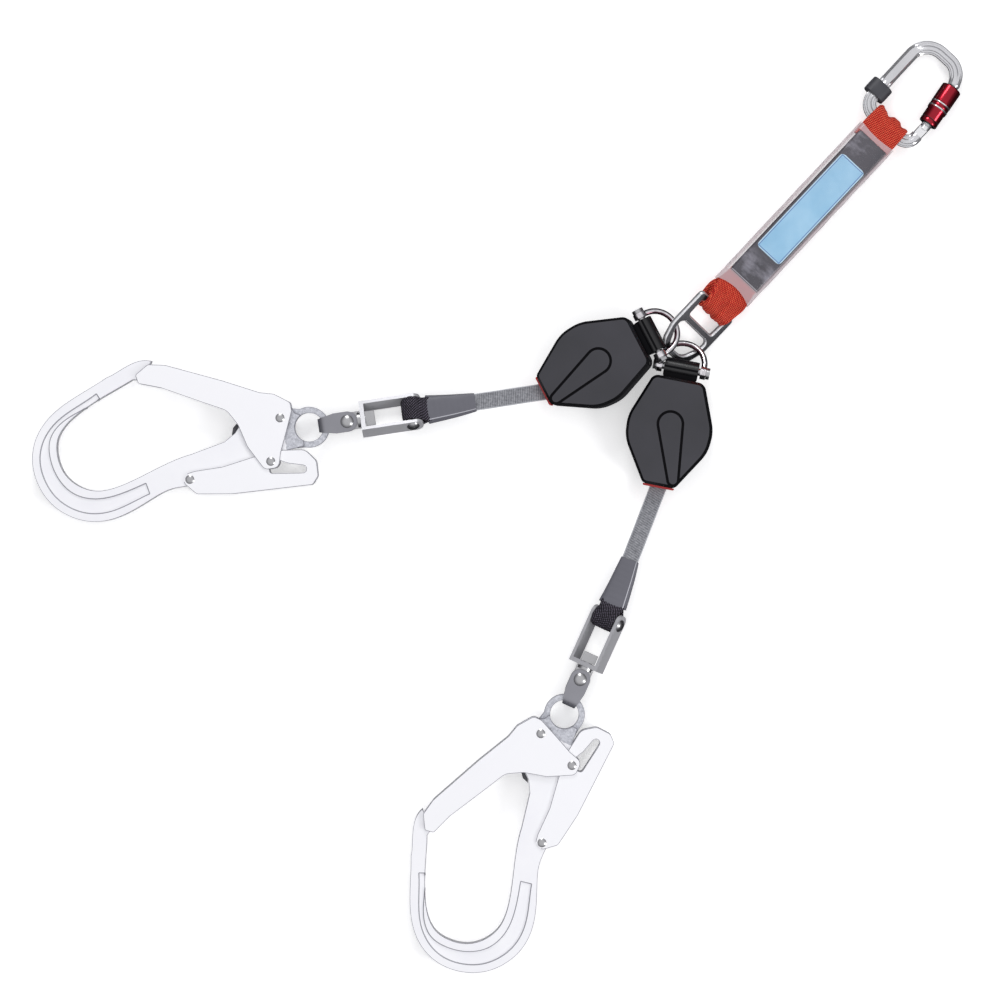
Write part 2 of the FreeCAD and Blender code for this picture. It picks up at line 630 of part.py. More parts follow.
def hook_outline():
    """Plan form of the aluminium body: neck, spine, bow and nose."""
    edges = [spline(BACK), spline(NOSE_OUT)]
    edges.append(Part.Arc(V(*NOSE_TIP, 0), V(124.2, -63.8, 0), V(*NOSE_HEEL, 0)).toShape())
    edges.append(line(NOSE_HEEL, INSIDE[0]))
    edges.append(spline(INSIDE))
    corner_points = [INSIDE[-1], (70, 2.4), (60.5, -3.4), (55.5, -9.5), (36, -20.5), (30, -24), (20, -25.3),
                     (13, -19), (10, -13), (6, -11), (6, 14.5), (14, 15.5), (40, 18.4), (56, 33.0), BACK[0]]
    for a, b in zip(corner_points, corner_points[1:]):
        edges.append(line(a, b))
    return Part.Wire(Part.__sortEdges__(edges))


def hook_body():
    """Body with its channelled bow and the thinner plate that carries the eye."""
    body = prism(hook_outline(), -BODY_T, BODY_T)
    channel = channel_wire()
    body = body.cut(prism(channel, BODY_T - CHANNEL_DEPTH, BODY_T + 1))
    body = body.cut(prism(channel, -BODY_T - 1, -BODY_T + CHANNEL_DEPTH))
    plate = cylinder(EYE_RIM, -EYE_T, EYE_T).fuse(
        prism(outline([(0, -14.5), (24, -20), (24, 14), (0, 16.5)], 0), -EYE_T, EYE_T))
    body = body.fuse(plate).removeSplitter()
    body = body.cut(cylinder(EYE_R, -20, 20))
    body = body.cut(cylinder(RIVET_R - 0.5 + 0.02, -20, 20, PIVOT_A))
    body = body.cut(cylinder(RIVET_R - 0.5 + 0.02, -20, 20, PIVOT_B))
    return body


def channel_wire():
    """Edge of the recess that leaves a raised rim along the bow, on both faces."""
    outer = [(136, 36), (154, 42), (170, 46), (186, 45.4), (200, 39.6), (212.5, 28), (219.5, 13),
             (221, -4), (215.5, -19.5), (204, -32.0), (187, -41.6), (168, -50.8)]
    inner = [(166, -46.5), (183, -38.6), (201, -30), (210.5, -19), (212.6, -4.5), (208, 14.0),
             (198, 27), (181, 34), (164, 33.6), (138, 27.0)]
    edges = [spline(outer), line(outer[-1], inner[0]), spline(inner), line(inner[-1], outer[0])]
    return Part.Wire(Part.__sortEdges__(edges))


GATE_POINTS = [(134.3, -61.5), (123.0, -68.6), (109, -66.2), (64.5, -47.2), (36, -33.6), (24.6, -30.8),
               (12.2, -22.1), (12.0, -15), (18.7, 1.5), (25.5, 17.5), (28.6, 29.4), (40.4, 29.4), (51.8, 9),
               (56.9, -9.6), (64.5, -22.5), (83.4, -31.9), (114.9, -48.1), (132.8, -54.2)]
GATE_RADII = [2, 3, 12, 0, 6, 6, 4, 5, 10, 8, 5.5, 5.5, 12, 10, 12, 20, 20, 2]


def hook_gate():
    """Folded sheet gate: two cheeks over the body and a web along the outer edge."""
    sheet = prism(outline(GATE_POINTS, GATE_RADII), -GATE_OUT, GATE_OUT)
    inner = [(140, -80), (119.0, -80), (114.6, -66.2), (109.5, -64.3), (64.8, -45.3),
             (36.6, -31.9), (30, -29.3),
             (24.2, -40), (-10, -40), (-10, 60), (140, 60)]
    sheet = sheet.cut(prism(outline(inner, 0), -GATE_IN, GATE_IN))
    sheet = sheet.cut(cylinder(RIVET_R - 0.5 + 0.06, -20, 20, PIVOT_A))
    return sheet.cut(cylinder(LOCK_PIN_R, -20, 20, PIN_P))


LEVER_POINTS = [(107.5, 31.0), (104, 24.0), (97.5, 22.8), (74.2, 22.4), (48.2, 17.9),
                (24.2, 15.6), (5.5, 17.6),
                (-2.4, 28.0), (-2.2, 40.5), (3.2, 46.9), (68.8, 45.5), (98.2, 41.6)]
LEVER_RADII = [4, 4, 4, 10, 20, 10, 9, 6, 5, 3, 30, 5]


def slot_cutter():
    """Slot that the lock pin runs in: a notch, then a slanted run towards the eye."""
    shape = None
    path = [(34.5, 23.4), (22.0, 29.8), (9.6, 33.1)]
    for a, b in zip(path, path[1:]):
        start, end = V(*a, 0), V(*b, 0)
        along = (end - start).normalize()
        side = V(-along.y, along.x, 0) * 3.1
        ring = [start + side, end + side, end - side, start - side]
        run = Part.Face(Part.makePolygon(ring + [ring[0]])).extrude(V(0, 0, 30))
        run.translate(V(0, 0, -15))
        run = run.fuse(cylinder(3.1, -15, 15, start)).fuse(cylinder(3.1, -15, 15, end))
        shape = run if shape is None else shape.fuse(run)
    foot = prism(outline([(9, 30.0), (36.5, 26.5), (36.5, 33.0), (9, 36.4)], 2.5), -15, 15)
    return shape.fuse(foot)


def lock_lever():
    """Folded sheet lever along the spine, with the slot for the lock pin."""
    sheet = prism(outline(LEVER_POINTS, LEVER_RADII), -LEVER_OUT, LEVER_OUT)
    inner = [(94.5, 0), (94.5, 39.6), (68.6, 43.7), (4.0, 45.2), (-8, 45.2), (-8, 0)]
    lower = [(120, 0), (120, 34.0), (94, 39.6), (94, 0)]
    sheet = sheet.cut(prism(outline(inner, 0), -LEVER_IN, LEVER_IN))
    sheet = sheet.cut(prism(outline(lower, 0), -LEVER_IN, LEVER_IN))
    sheet = sheet.cut(slot_cutter())
    return sheet.cut(cylinder(RIVET_R - 0.5 + 0.06, -20, 20, PIVOT_B))


def hook_rivets():
    """Gate rivet and lever rivet, with round heads outside the sheet."""
    rivets = []
    for at, reach in ((PIVOT_A, GATE_OUT), (PIVOT_B, LEVER_OUT)):
        shank = cylinder(RIVET_R - 0.5, -reach - 0.1, reach + 0.1, at)
        heads = []
        for side in (1, -1):
            heads.append(domed_head(3.7, 1.1, at + V(0, 0, side * (reach + 0.02)), Z_AXIS * side))
        rivets.append(fused(shank, *heads))
    return Part.makeCompound(rivets)


def lock_pin():
    pin = cylinder(LOCK_PIN_R, -GATE_OUT - 0.1, GATE_OUT + 0.1, PIN_P)
    heads = []
    for side in (1, -1):
        heads.append(domed_head(3.7, 1.1, PIN_P + V(0, 0, side * (GATE_OUT + 0.02)), Z_AXIS * side))
    return fused(pin, *heads)


def hook_spring():
    """Torsion spring round the gate rivet, with a leg along the inside of the gate."""
    coil = Part.makeTorus(5.2, 0.7, PIVOT_A + V(0, 0, BODY_T + 1.05), Z_AXIS)
    leg = cylinder(0.7, 0, 38, PIVOT_A + V(4.4, -2.7, BODY_T + 1.05), V(86.0, -33.0, 0).normalize())
    tail = cylinder(0.7, 0, 6, PIVOT_A + V(-1.0, 5.0, BODY_T + 1.05), V(-1, 0.2, 0).normalize())
    return fused(coil, leg, tail)


def bumper():
    """Black rubber stop on the inner end of the spine, behind the closed gate."""
    ring = [(60.8, -3.8), (56.0, -9.6), (57.8, -11.2), (61.5, -8.0), (63.2, -2.4)]
    return prism(outline(ring, [0, 0, 0.8, 2, 0]), -6.5, 6.5)


# ---- frames -------------------------------------------------------------------------------------
def frames():
    """Every frame that parts are laid in, by name."""
    table = {"absorber": FreeCAD.Placement()}
    table["carabiner"] = FreeCAD.Placement(V(0, UPPER_BAR_Y, ABSORBER_Z),
                                           FreeCAD.Rotation(V(1, 0, 0), CARABINER_TILT))
    table["carabiner_gate"] = table["carabiner"].multiply(gate_frame())
    table["link"] = link_frame()
    for side, at in SIDES.items():
        bolt_frame = laid(at["bolt"], at["reel_yaw"], 0.0, at["roll"])
        shackle_frame = bolt_frame.multiply(laid(V(0, 0, 0), 0.0, at["shackle_pitch"]))
        reel_frame = bolt_frame.multiply(laid(V(0, 0, 0), 0.0, at["reel_pitch"]))
        swivel_way = heading(at["swivel_yaw"])
        pin = at["eye"] + swivel_way * PIN_X
        leave = reel_frame.multVec(V(EXIT_X + 1.5, 0, 0))
        back = leave - pin
        yaw = math.degrees(math.atan2(back.y, back.x))
        rise = math.degrees(math.asin(back.z / back.Length))
        table[side + "_shackle"] = shackle_frame
        table[side + "_reel"] = reel_frame
        table[side + "_strap"] = laid(pin, yaw, -rise, -at["roll"])
        table[side + "_strap_length"] = back.Length
        table[side + "_loop"] = laid(pin, at["swivel_yaw"] + 180)
        table[side + "_swivel"] = laid(at["eye"], at["swivel_yaw"])
        table[side + "_yoke"] = laid(at["eye"], at["swivel_yaw"], 0.0, YOKE_ROLL)
        table[side + "_hook"] = laid(at["eye"], at["hook_yaw"])
    return table


def assemble():
    """All nodes in place, before the origin is moved to the middle of the footprint."""
    at = frames()
    nodes = {}

    def add(name, shape, frame):
        placed = shape.copy()
        placed.Placement = at[frame].multiply(placed.Placement)
        nodes[name] = placed

    add("carabiner_body", carabiner_body(), "carabiner")
    add("carabiner_keeper", keeper(), "carabiner")
    add("carabiner_gate", carabiner_gate(), "carabiner_gate")
    add("gate_pin", cylinder(1.48, -GATE_R + 0.2, GATE_R - 0.2), "carabiner_gate")
    add("gate_spring", gate_spring(), "carabiner_gate")
    add("locking_sleeve", locking_sleeve(), "carabiner_gate")
    add("tear_webbing", tear_webbing(), "absorber")
    add("inner_cover", inner_cover(), "absorber")
    add("label", label(), "absorber")
    add("clear_sleeve", clear_sleeve(), "absorber")
    add("connector_link", connector_link(), "link")
    for side, place in SIDES.items():
        add(side + "_shackle", shackle(), side + "_shackle")
        add(side + "_shackle_bolt", shackle_bolt(place["head"]), side + "_shackle")
        add(side + "_front_shell", front_shell(), side + "_reel")
        add(side + "_back_shell", back_shell(), side + "_reel")
        add(side + "_housing_screws", housing_screws(), side + "_reel")
        add(side + "_exit_guide", exit_guide(), side + "_reel")
        add(side + "_spool", spool(), side + "_reel")
        add(side + "_wound_webbing", wound_webbing(), side + "_reel")
        add(side + "_main_spring", main_spring(), side + "_reel")
        add(side + "_strap", strap(at[side + "_strap_length"]), side + "_strap")
        add(side + "_end_sleeve", end_sleeve(), side + "_strap")
        add(side + "_webbing_loop", webbing_loop(), side + "_loop")
        add(side + "_yoke", yoke(), side + "_yoke")
        add(side + "_yoke_pin", yoke_pin(), side + "_yoke")
        add(side + "_swivel_eye", swivel_eye(), side + "_swivel")
        add(side + "_clevis", clevis(), side + "_swivel")
        add(side + "_clevis_rivet", clevis_rivet(), side + "_swivel")
        add(side + "_hook_body", hook_body(), side + "_hook")
        add(side + "_hook_gate", hook_gate(), side + "_hook")
        add(side + "_lock_lever", lock_lever(), side + "_hook")
        add(side + "_hook_rivets", hook_rivets(), side + "_hook")
        add(side + "_lock_pin", lock_pin(), side + "_hook")
        add(side + "_hook_spring", hook_spring(), side + "_hook")
        add(side + "_bumper", bumper(), side + "_hook")
    return nodes


def footprint_shift(nodes):
    """Move that puts the middle of the footprint at the origin and the lowest point at Z = 0."""
    whole = FreeCAD.BoundBox()
    for shape in nodes.values():
        whole.add(shape.BoundBox)
    return V(-whole.Center.x, -whole.Center.y, -whole.ZMin)


NODES = assemble()
SHIFT = footprint_shift(NODES)
os.makedirs("parts", exist_ok=True)
for node, solid in NODES.items():
    solid.translate(SHIFT)
    solid.exportStep("parts/" + node + ".step")
print("nodes", len(NODES), "shift", [round(c, 3) for c in SHIFT])
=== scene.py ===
import json
import math

import bmesh
import bpy
import numpy as np
from mathutils import Matrix, Vector, noise
from mathutils.kdtree import KDTree


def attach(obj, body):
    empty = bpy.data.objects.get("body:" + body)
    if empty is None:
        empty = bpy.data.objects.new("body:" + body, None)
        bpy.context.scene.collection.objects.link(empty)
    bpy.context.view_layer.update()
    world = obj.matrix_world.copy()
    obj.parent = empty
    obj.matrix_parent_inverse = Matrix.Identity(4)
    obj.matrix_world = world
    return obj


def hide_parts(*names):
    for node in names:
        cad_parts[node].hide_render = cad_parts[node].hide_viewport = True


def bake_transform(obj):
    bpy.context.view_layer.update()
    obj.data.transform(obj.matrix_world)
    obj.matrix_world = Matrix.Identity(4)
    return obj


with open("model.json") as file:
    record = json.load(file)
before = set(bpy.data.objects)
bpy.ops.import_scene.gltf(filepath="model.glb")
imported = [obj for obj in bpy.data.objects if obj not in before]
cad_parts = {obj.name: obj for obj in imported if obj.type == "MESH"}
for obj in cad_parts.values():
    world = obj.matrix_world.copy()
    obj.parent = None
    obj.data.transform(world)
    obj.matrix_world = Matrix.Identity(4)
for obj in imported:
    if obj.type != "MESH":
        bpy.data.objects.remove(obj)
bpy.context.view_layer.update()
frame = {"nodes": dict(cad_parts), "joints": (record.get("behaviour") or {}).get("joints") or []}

MM = 0.001
NODES = frame["nodes"]
JOINTS = {j["name"]: j for j in frame["joints"]}
PACK_Z = 14  # height of the absorber's middle
UPPER_BAR_Y = 95  # the carabiner's bow in the upper loop, along the absorber
REEL_EXIT_X = 98.5  # from the shackle bolt to the reel's mouth
HOOK_PIVOT = (22.2, -10.7)  # the gate's rivet from the centre of the hook's eye


def smooth(t):
    """Eased step from 0 to 1."""
    t = max(0.0, min(1.0, t))
    return t * t * (3 - 2 * t)


def around(count):
    """Angles of count equal steps round a circle."""
    return np.linspace(0, 2 * math.pi, count + 1)[:-1]


def bell(distance, width):
    """Bump of height 1 that fades out over about width to either side."""
    return math.exp(-(distance / width) ** 2)


def way_in(place, *way):
    """World direction of a direction that is given in the frame place."""
    return (place.to_3x3() @ Vector(way)).normalized()


def new_object(name, data):
    obj = bpy.data.objects.new(name, data)
    bpy.context.scene.collection.objects.link(obj)
    return obj


# ---- frames, read from the joints -------------------------------------
def joint_at(name):
    return Vector(JOINTS[name]["pos_m"])


def joint_way(name):
    return Vector(JOINTS[name]["axis"]).normalized()


def basis(origin, x, z):
    """Local frame in millimetres from an origin, its x direction and roughly its z direction."""
    x = x.normalized()
    y = z.cross(x).normalized()
    z = x.cross(y)
    turn = Matrix((x, y, z)).transposed().to_4x4()
    turn.translation = origin
    return turn @ Matrix.Scale(MM, 4)


def side_frames(side):
    """Frames of one leg, by name."""
    def q(name):
        return side + "_" + name

    out = {}
    bolt = joint_at(q("reel_pitch"))
    spool = joint_at(q("spool_spin"))
    up = joint_way(q("spool_spin"))
    out["reel"] = basis(bolt, spool - bolt, up)
    pin = joint_at(q("yoke_swing"))
    reel_y = joint_way(q("reel_pitch"))
    back = -joint_way(q("strap_pull"))
    strap_z = back.cross(-reel_y - back * (-reel_y).dot(back))
    out["strap"] = basis(pin, back, strap_z)
    eye = joint_at(q("hook_swing"))
    swivel_x = joint_way(q("swivel_spin"))
    out["swivel"] = basis(eye, swivel_x, joint_way(q("clevis_swing")))
    yoke_y = joint_way(q("yoke_swing"))
    out["yoke"] = basis(pin, swivel_x, swivel_x.cross(yoke_y))
    up = joint_way(q("hook_swing"))
    pivot = joint_at(q("gate_open")) - eye
    turn = Matrix.Rotation(-math.atan2(HOOK_PIVOT[1], HOOK_PIVOT[0]), 4, up)
    out["hook"] = basis(eye, turn @ pivot, up)
    out["exit"] = out["reel"] @ Vector((REEL_EXIT_X, 0, 0))
    return out


SHIFT = joint_at("carabiner_swing") - Vector((0, UPPER_BAR_Y, PACK_Z)) * MM
ABSORBER = Matrix.Translation(SHIFT) @ Matrix.Scale(MM, 4)
CARABINER = basis(joint_at("carabiner_swing"), joint_way("carabiner_swing"), joint_way("carabiner_gate_open"))
GATE = basis(joint_at("carabiner_gate_open"), joint_way("sleeve_twist"), joint_way("carabiner_gate_open"))
LEGS = {side: side_frames(side) for side in ("left", "right")}
bows = [joint_at(side + "_shackle_splay") for side in LEGS]
LINK_LIE = (sum(bows, Vector()) / 2 - joint_at("link_swing")).normalized()

# ---- camera, light and floor ------------------------------------------
VIEW_TURN = math.radians(43.1)
VIEW_CENTRE = SHIFT + Vector((-22.85, -343.67, 0)) * MM
VIEW_WIDTH = 0.82
CAMERA_HEIGHT = 4.0
SENSOR_WIDTH = 36.0
data = bpy.data.cameras.new("camera")
data.lens = SENSOR_WIDTH * CAMERA_HEIGHT / VIEW_WIDTH
data.sensor_width = SENSOR_WIDTH
data.clip_end = 20.0
camera = new_object("camera", data)
camera_place = Matrix.Translation((VIEW_CENTRE.x, VIEW_CENTRE.y, CAMERA_HEIGHT))
camera.matrix_world = camera_place @ Matrix.Rotation(VIEW_TURN, 4, "Z")
bpy.context.scene.camera = camera
bpy.context.scene.view_settings.view_transform = "Standard"


def area_light(name, place, target, size, power):
    """Round lamp at place that shines at target and isn't seen itself."""
    data = bpy.data.lights.new(name, "AREA")
    data.shape = "DISK"
    data.size = size
    data.energy = power
    light = new_object(name, data)
    way = Vector(target) - Vector(place)
    light.matrix_world = Matrix.Translation(place) @ way.to_track_quat("-Z", "Y").to_matrix().to_4x4()
    light.visible_camera = False


area_light("light_left", (-1.5, 1.3, 1.5), (0, 0, 0), 0.9, 21)
area_light("light_right", (1.7, 0.3, 1.3), (0, 0, 0), 0.6, 13)


def world_light():
    """Soft white overhead that falls to grey at the horizon, so rounded metal edges read dark."""
    world = bpy.data.worlds.new("studio")
    bpy.context.scene.world = world
    world.use_nodes = True
    nodes, links = world.node_tree.nodes, world.node_tree.links
    back = nodes["Background"]
    coord = nodes.new("ShaderNodeTexCoord")
    split = nodes.new("ShaderNodeSeparateXYZ")
    ramp = nodes.new("ShaderNodeValToRGB")
    links.new(coord.outputs["Generated"], split.inputs[0])
    links.new(split.outputs["Z"], ramp.inputs[0])
    stops = ramp.color_ramp.elements
    stops[0].position, stops[0].color = 0.0, (0.05, 0.05, 0.055, 1)
    stops[1].position, stops[1].color = 0.80, (0.98, 0.98, 1.0, 1)
    middle = stops.new(0.45)
    middle.color = (0.26, 0.26, 0.28, 1)
    links.new(ramp.outputs[0], back.inputs[0])
    back.inputs[1].default_value = 0.98


world_light()


# ---- material kit -----------------------------------------------------
def rgba(colour):
    return (*colour, 1.0)


class Shader:
    """Small wrapper that keeps node graphs short to write."""

    def __init__(self, name, base, rough, metal=0.0, **inputs):
        self.mat = bpy.data.materials.new(name)
        self.mat.use_nodes = True
        self.nodes = self.mat.node_tree.nodes
        self.links = self.mat.node_tree.links
        self.out = self.nodes["Principled BSDF"]
        self.out.inputs["Base Color"].default_value = rgba(base)
        self.out.inputs["Roughness"].default_value = rough
        self.out.inputs["Metallic"].default_value = metal
        for key, value in inputs.items():
            self.out.inputs[key.replace("_", " ")].default_value = value

    def add(self, kind, *feeds, **props):
        node = self.nodes.new(kind)
        for key, value in props.items():
            setattr(node, key, value)
        for i, feed in enumerate(feeds):
            self.feed(feed, node.inputs[i])
        return node

    def feed(self, source, target):
        if source is None:
            return
        if isinstance(source, bpy.types.NodeSocket):
            self.links.new(source, target)
        else:
            target.default_value = source

    def math(self, operation, *feeds):
        return self.add("ShaderNodeMath", *feeds, operation=operation).outputs[0]

    def times(self, a, b):
        return self.math("MULTIPLY", a, b)

    def plus(self, a, b):
        return self.math("ADD", a, b)

    def minus(self, a, b):
        return self.math("SUBTRACT", a, b)

    def absolute(self, value):
        return self.math("ABSOLUTE", value)

    def clamped(self, value):
        return self.math("MINIMUM", self.math("MAXIMUM", value, 0.0), 1.0)

    def dot(self, a, b):
        return self.add("ShaderNodeVectorMath", a, b, operation="DOT_PRODUCT").outputs["Value"]

    def coords(self, kind="Object", scale=(1, 1, 1)):
        coord = self.add("ShaderNodeTexCoord")
        mapping = self.add("ShaderNodeMapping", coord.outputs[kind])
        mapping.inputs["Scale"].default_value = scale
        return mapping.outputs[0]

    def noise(self, scale, detail=3.0, roughness=0.55, stretch=(1, 1, 1), kind="Object"):
        node = self.add("ShaderNodeTexNoise", self.coords(kind, stretch))
        node.inputs["Scale"].default_value = scale
        node.inputs["Detail"].default_value = detail
        node.inputs["Roughness"].default_value = roughness
        return node.outputs["Fac"]

    def ramp(self, factor, *stops):
        node = self.add("ShaderNodeValToRGB", factor)
        ramp = node.color_ramp
        ramp.elements[0].position, ramp.elements[0].color = stops[0][0], rgba(stops[0][1])
        ramp.elements[1].position, ramp.elements[1].color = stops[-1][0], rgba(stops[-1][1])
        for place, colour in stops[1:-1]:
            ramp.elements.new(place).color = rgba(colour)
        return node.outputs[0]

    def mix(self, factor, a, b):
        node = self.add("ShaderNodeMix", data_type="RGBA")
        self.feed(factor, node.inputs[0])
        for i, colour in ((6, a), (7, b)):
            self.feed(colour if isinstance(colour, bpy.types.NodeSocket) else rgba(colour), node.inputs[i])
        return node.outputs[2]

    def bump(self, height, distance, strength=1.0, onto=None):
        node = self.add("ShaderNodeBump")
        node.inputs["Strength"].default_value = strength
        node.inputs["Distance"].default_value = distance
        self.links.new(height, node.inputs["Height"])
        if onto is not None:
            self.links.new(onto, node.inputs["Normal"])
        return node.outputs[0]

    def use(self, colour=None, rough=None, normal=None):
        if colour is not None:
            self.links.new(colour, self.out.inputs["Base Color"])
        if rough is not None:
            self.links.new(rough, self.out.inputs["Roughness"])
        if normal is not None:
            self.links.new(normal, self.out.inputs["Normal"])
        return self.mat

    def ranged(self, value, low, high):
        node = self.add("ShaderNodeMapRange", value)
        node.inputs["To Min"].default_value = low
        node.inputs["To Max"].default_value = high
        return node.outputs[0]


def satin_metal(name, base, low, high, grain=900, depth=0.00002, dirt=0.1, metal=1.0):
    """Metal with a fine grain, uneven roughness and slight staining."""
    s = Shader(name, base, low, metal)
    grain_value = s.noise(grain, 4.0, 0.6)
    cloud = s.noise(22, 3.0)
    darker = tuple(c * (1 - dirt) for c in base)
    colour = s.mix(s.ranged(cloud, 0, 1), base, darker)
    wear = s.plus(s.times(cloud, 0.5), s.times(grain_value, 0.5))
    return s.use(colour, s.ranged(wear, low, high), s.bump(grain_value, depth))


def moulded(name, base, low, high, grain, depth):
    """Moulded plastic or rubber with a fine texture."""
    s = Shader(name, base, low)
    fine = s.noise(grain, 2.0)
    cloud = s.noise(30, 3.0)
    lighter = tuple(min(c * 1.35 + 0.004, 1) for c in base)
    colour = s.mix(s.ranged(cloud, 0, 0.7), base, lighter)
    return s.use(colour, s.ranged(cloud, low, high), s.bump(fine, depth))


def woven(name, dark, middle, bright, across, along, slant, depth, mottled=0.0, edge=None, edge_at=0.0,
          sheen=0.2):
    """Webbing weave on UV in metres: a lattice of raised yarns in slanted rows. The colour ramp over the yarn
    height is painted light: dark is painted shade in the gaps between yarns and also the colour of random
    darker patches, bright is painted highlight on the raised yarns.
    """
    s = Shader(name, middle, 0.72, Specular_IOR_Level=0.25, Sheen_Weight=sheen, Sheen_Roughness=0.4)
    uv = s.add("ShaderNodeSeparateXYZ", s.coords("UV"))
    wobble = s.noise(900, 2.0, 0.5, kind="UV")
    u = s.plus(uv.outputs[0], s.times(wobble, across * 0.35))
    v = s.plus(uv.outputs[1], s.times(wobble, along * 0.35))
    turn = 2 * math.pi
    a = s.plus(s.times(u, turn / across), s.times(v, turn / along * slant))
    b = s.minus(s.times(u, turn / across * slant), s.times(v, turn / along))
    lattice = s.times(s.math("SINE", a), s.math("SINE", b))
    height = s.plus(s.times(lattice, 0.5), 0.5)
    yarn_shading_and_mottle = height
    if mottled:
        patches = s.noise(330, 3.0, 0.7, kind="UV")
        yarn_shading_and_mottle = s.plus(s.times(height, 1 - mottled), s.times(patches, mottled))
    # painted shade in the gaps between yarns and painted highlight on the raised yarns, both taken from the
    # yarn height
    colour = s.ramp(yarn_shading_and_mottle, (0.12, dark), (0.5, middle), (0.9, bright))
    cloud = s.noise(55, 3.0, 0.6, kind="UV")
    colour = s.mix(s.ranged(cloud, 0.0, 0.5), colour, dark)
    if edge is not None:
        near = s.math("GREATER_THAN", s.absolute(uv.outputs[0]), edge_at)
        colour = s.mix(near, colour, edge)
    return s.use(colour, s.ranged(yarn_shading_and_mottle, 0.9, 0.62), s.bump(height, depth, 0.9))


def clear_film(name, tint, rough):
    """Thin clear film: nearly unseen where it lies on the pack, milky along its free edges and ends."""
    s = Shader(name, tint, rough)
    uv = s.add("ShaderNodeSeparateXYZ", s.coords("UV"))
    ripple = s.noise(30, 3.0, 0.6, (1.0, 0.35, 1.0))
    side = s.times(s.minus(s.absolute(uv.outputs[0]), 0.0142), 520.0)
    low_end = s.times(s.minus(-0.0770, uv.outputs[1]), 1500.0)
    high_end = s.times(s.minus(uv.outputs[1], 0.0772), 1500.0)
    end = s.math("MAXIMUM", low_end, high_end)
    edge = s.clamped(s.math("MAXIMUM", side, end))
    cover = s.plus(s.times(edge, 0.46), s.times(ripple, 0.14))
    s.links.new(cover, s.out.inputs["Alpha"])
    return s.use(None, None, s.bump(ripple, 0.0012, 0.6))


MAT = {
    # edge: dark material of the hook plates' bevel faces, painted shade along their edges
    "edge": satin_metal("painted_edge_shade_look", (0.10, 0.10, 0.12), 0.34, 0.48, 500, 0.00002, 0.2),
    "sheet": satin_metal("gate_sheet_look", (0.95, 0.95, 0.975), 0.28, 0.40, 1100, 0.00001, 0.03, 0.5),
    "bright": satin_metal("bright_rod_look", (0.86, 0.86, 0.87), 0.12, 0.24, 420, 0.000012, 0.10),
    # line: dark strips laid beside the hook plates' bevels, a painted shade outline
    "line": satin_metal("painted_outline_shade_look", (0.34, 0.34, 0.38), 0.40, 0.55, 500, 0.00002, 0.3, 0.3),
    "zinc": satin_metal("zinc_look", (0.50, 0.50, 0.51), 0.20, 0.36, 600, 0.00002, 0.25),
    "yoke": satin_metal("yoke_look", (0.66, 0.66, 0.69), 0.26, 0.42, 380, 0.00004, 0.30, 0.45),
    "rod": satin_metal("carabiner_look", (0.68, 0.68, 0.70), 0.14, 0.26, 260, 0.00004, 0.22, 0.72),
    "clevis": satin_metal("clevis_look", (0.34, 0.34, 0.37), 0.36, 0.52, 480, 0.00008, 0.30),
    "spring": satin_metal("spring_look", (0.42, 0.42, 0.44), 0.25, 0.40),
    "black": moulded("black_moulded_look", (0.012, 0.013, 0.015), 0.22, 0.36, 800, 0.00001),
    "rubber": moulded("rubber_look", (0.045, 0.045, 0.052), 0.52, 0.70, 900, 0.00004),
    "shrink": moulded("shrink_sleeve_look", (0.105, 0.105, 0.125), 0.42, 0.60, 420, 0.00006),
    "seam": moulded("seam_look", (0.42, 0.42, 0.46), 0.40, 0.60, 300, 0.0001),
    "keeper": moulded("keeper_look", (0.036, 0.037, 0.045), 0.45, 0.60, 700, 0.00004),
    "lip": moulded("exit_lip_look", (0.42, 0.018, 0.018), 0.35, 0.50, 500, 0.00003),
    # in each weave the first colour is painted shade in the yarn gaps and the last colour is painted
    # highlight on the raised yarns
    "red": woven("red_weave_look", (0.15, 0.002, 0.003), (0.74, 0.018, 0.014), (1.0, 0.22, 0.10),
                 0.0027, 0.0021, 0.55, 0.00055, sheen=0.0),
    "grey_strap": woven("grey_weave_look", (0.050, 0.052, 0.060), (0.29, 0.295, 0.32), (0.68, 0.69, 0.72),
                        0.0021, 0.0034, 0.8, 0.00025, 0.62, (0.45, 0.46, 0.49), 0.0061),
    "black_loop": woven("black_weave_look", (0.002, 0.002, 0.003), (0.008, 0.007, 0.010), (0.16, 0.14, 0.19),
                        0.0028, 0.0019, 0.20, 0.00030, sheen=0.0),
    "film": clear_film("clear_film_look", (0.64, 0.53, 0.56), 0.20),
}


def cover_look():
    """Slate film over the folded pack, a little crumpled, with painted highlight streaks near both ends and a
    thin painted highlight line across its lower end.
    """
    s = Shader("cover_film_look", (0.045, 0.052, 0.070), 0.34)
    cloud = s.noise(16, 4.0, 0.6)
    fine = s.noise(240, 2.0)
    colour = s.ramp(cloud, (0.3, (0.022, 0.026, 0.036)), (0.7, (0.050, 0.056, 0.072)))
    along = s.minus(s.add("ShaderNodeSeparateXYZ", s.coords()).outputs[1], SHIFT.y)
    # painted highlight: pale streaks on the film near both ends
    highlight_streaks = s.noise(62, 3.0, 0.55, (1.0, 1.6, 1.0))
    ends = s.clamped(s.times(s.minus(s.absolute(along), 0.050), 120.0))
    pale = s.times(ends, s.ramp(highlight_streaks, (0.50, (0, 0, 0)), (0.72, (1, 1, 1))))
    colour = s.mix(pale, colour, (0.21, 0.21, 0.25))
    # painted highlight: a thin light line across the lower end of the film
    highlight_line = s.math("LESS_THAN", s.absolute(s.plus(along, 0.0763)), 0.00024)
    colour = s.mix(highlight_line, colour, (0.48, 0.48, 0.52))
    normal = s.bump(cloud, 0.0030, 0.8)
    return s.use(colour, s.ranged(cloud, 0.20, 0.34), s.bump(fine, 0.00004, 1.0, normal))


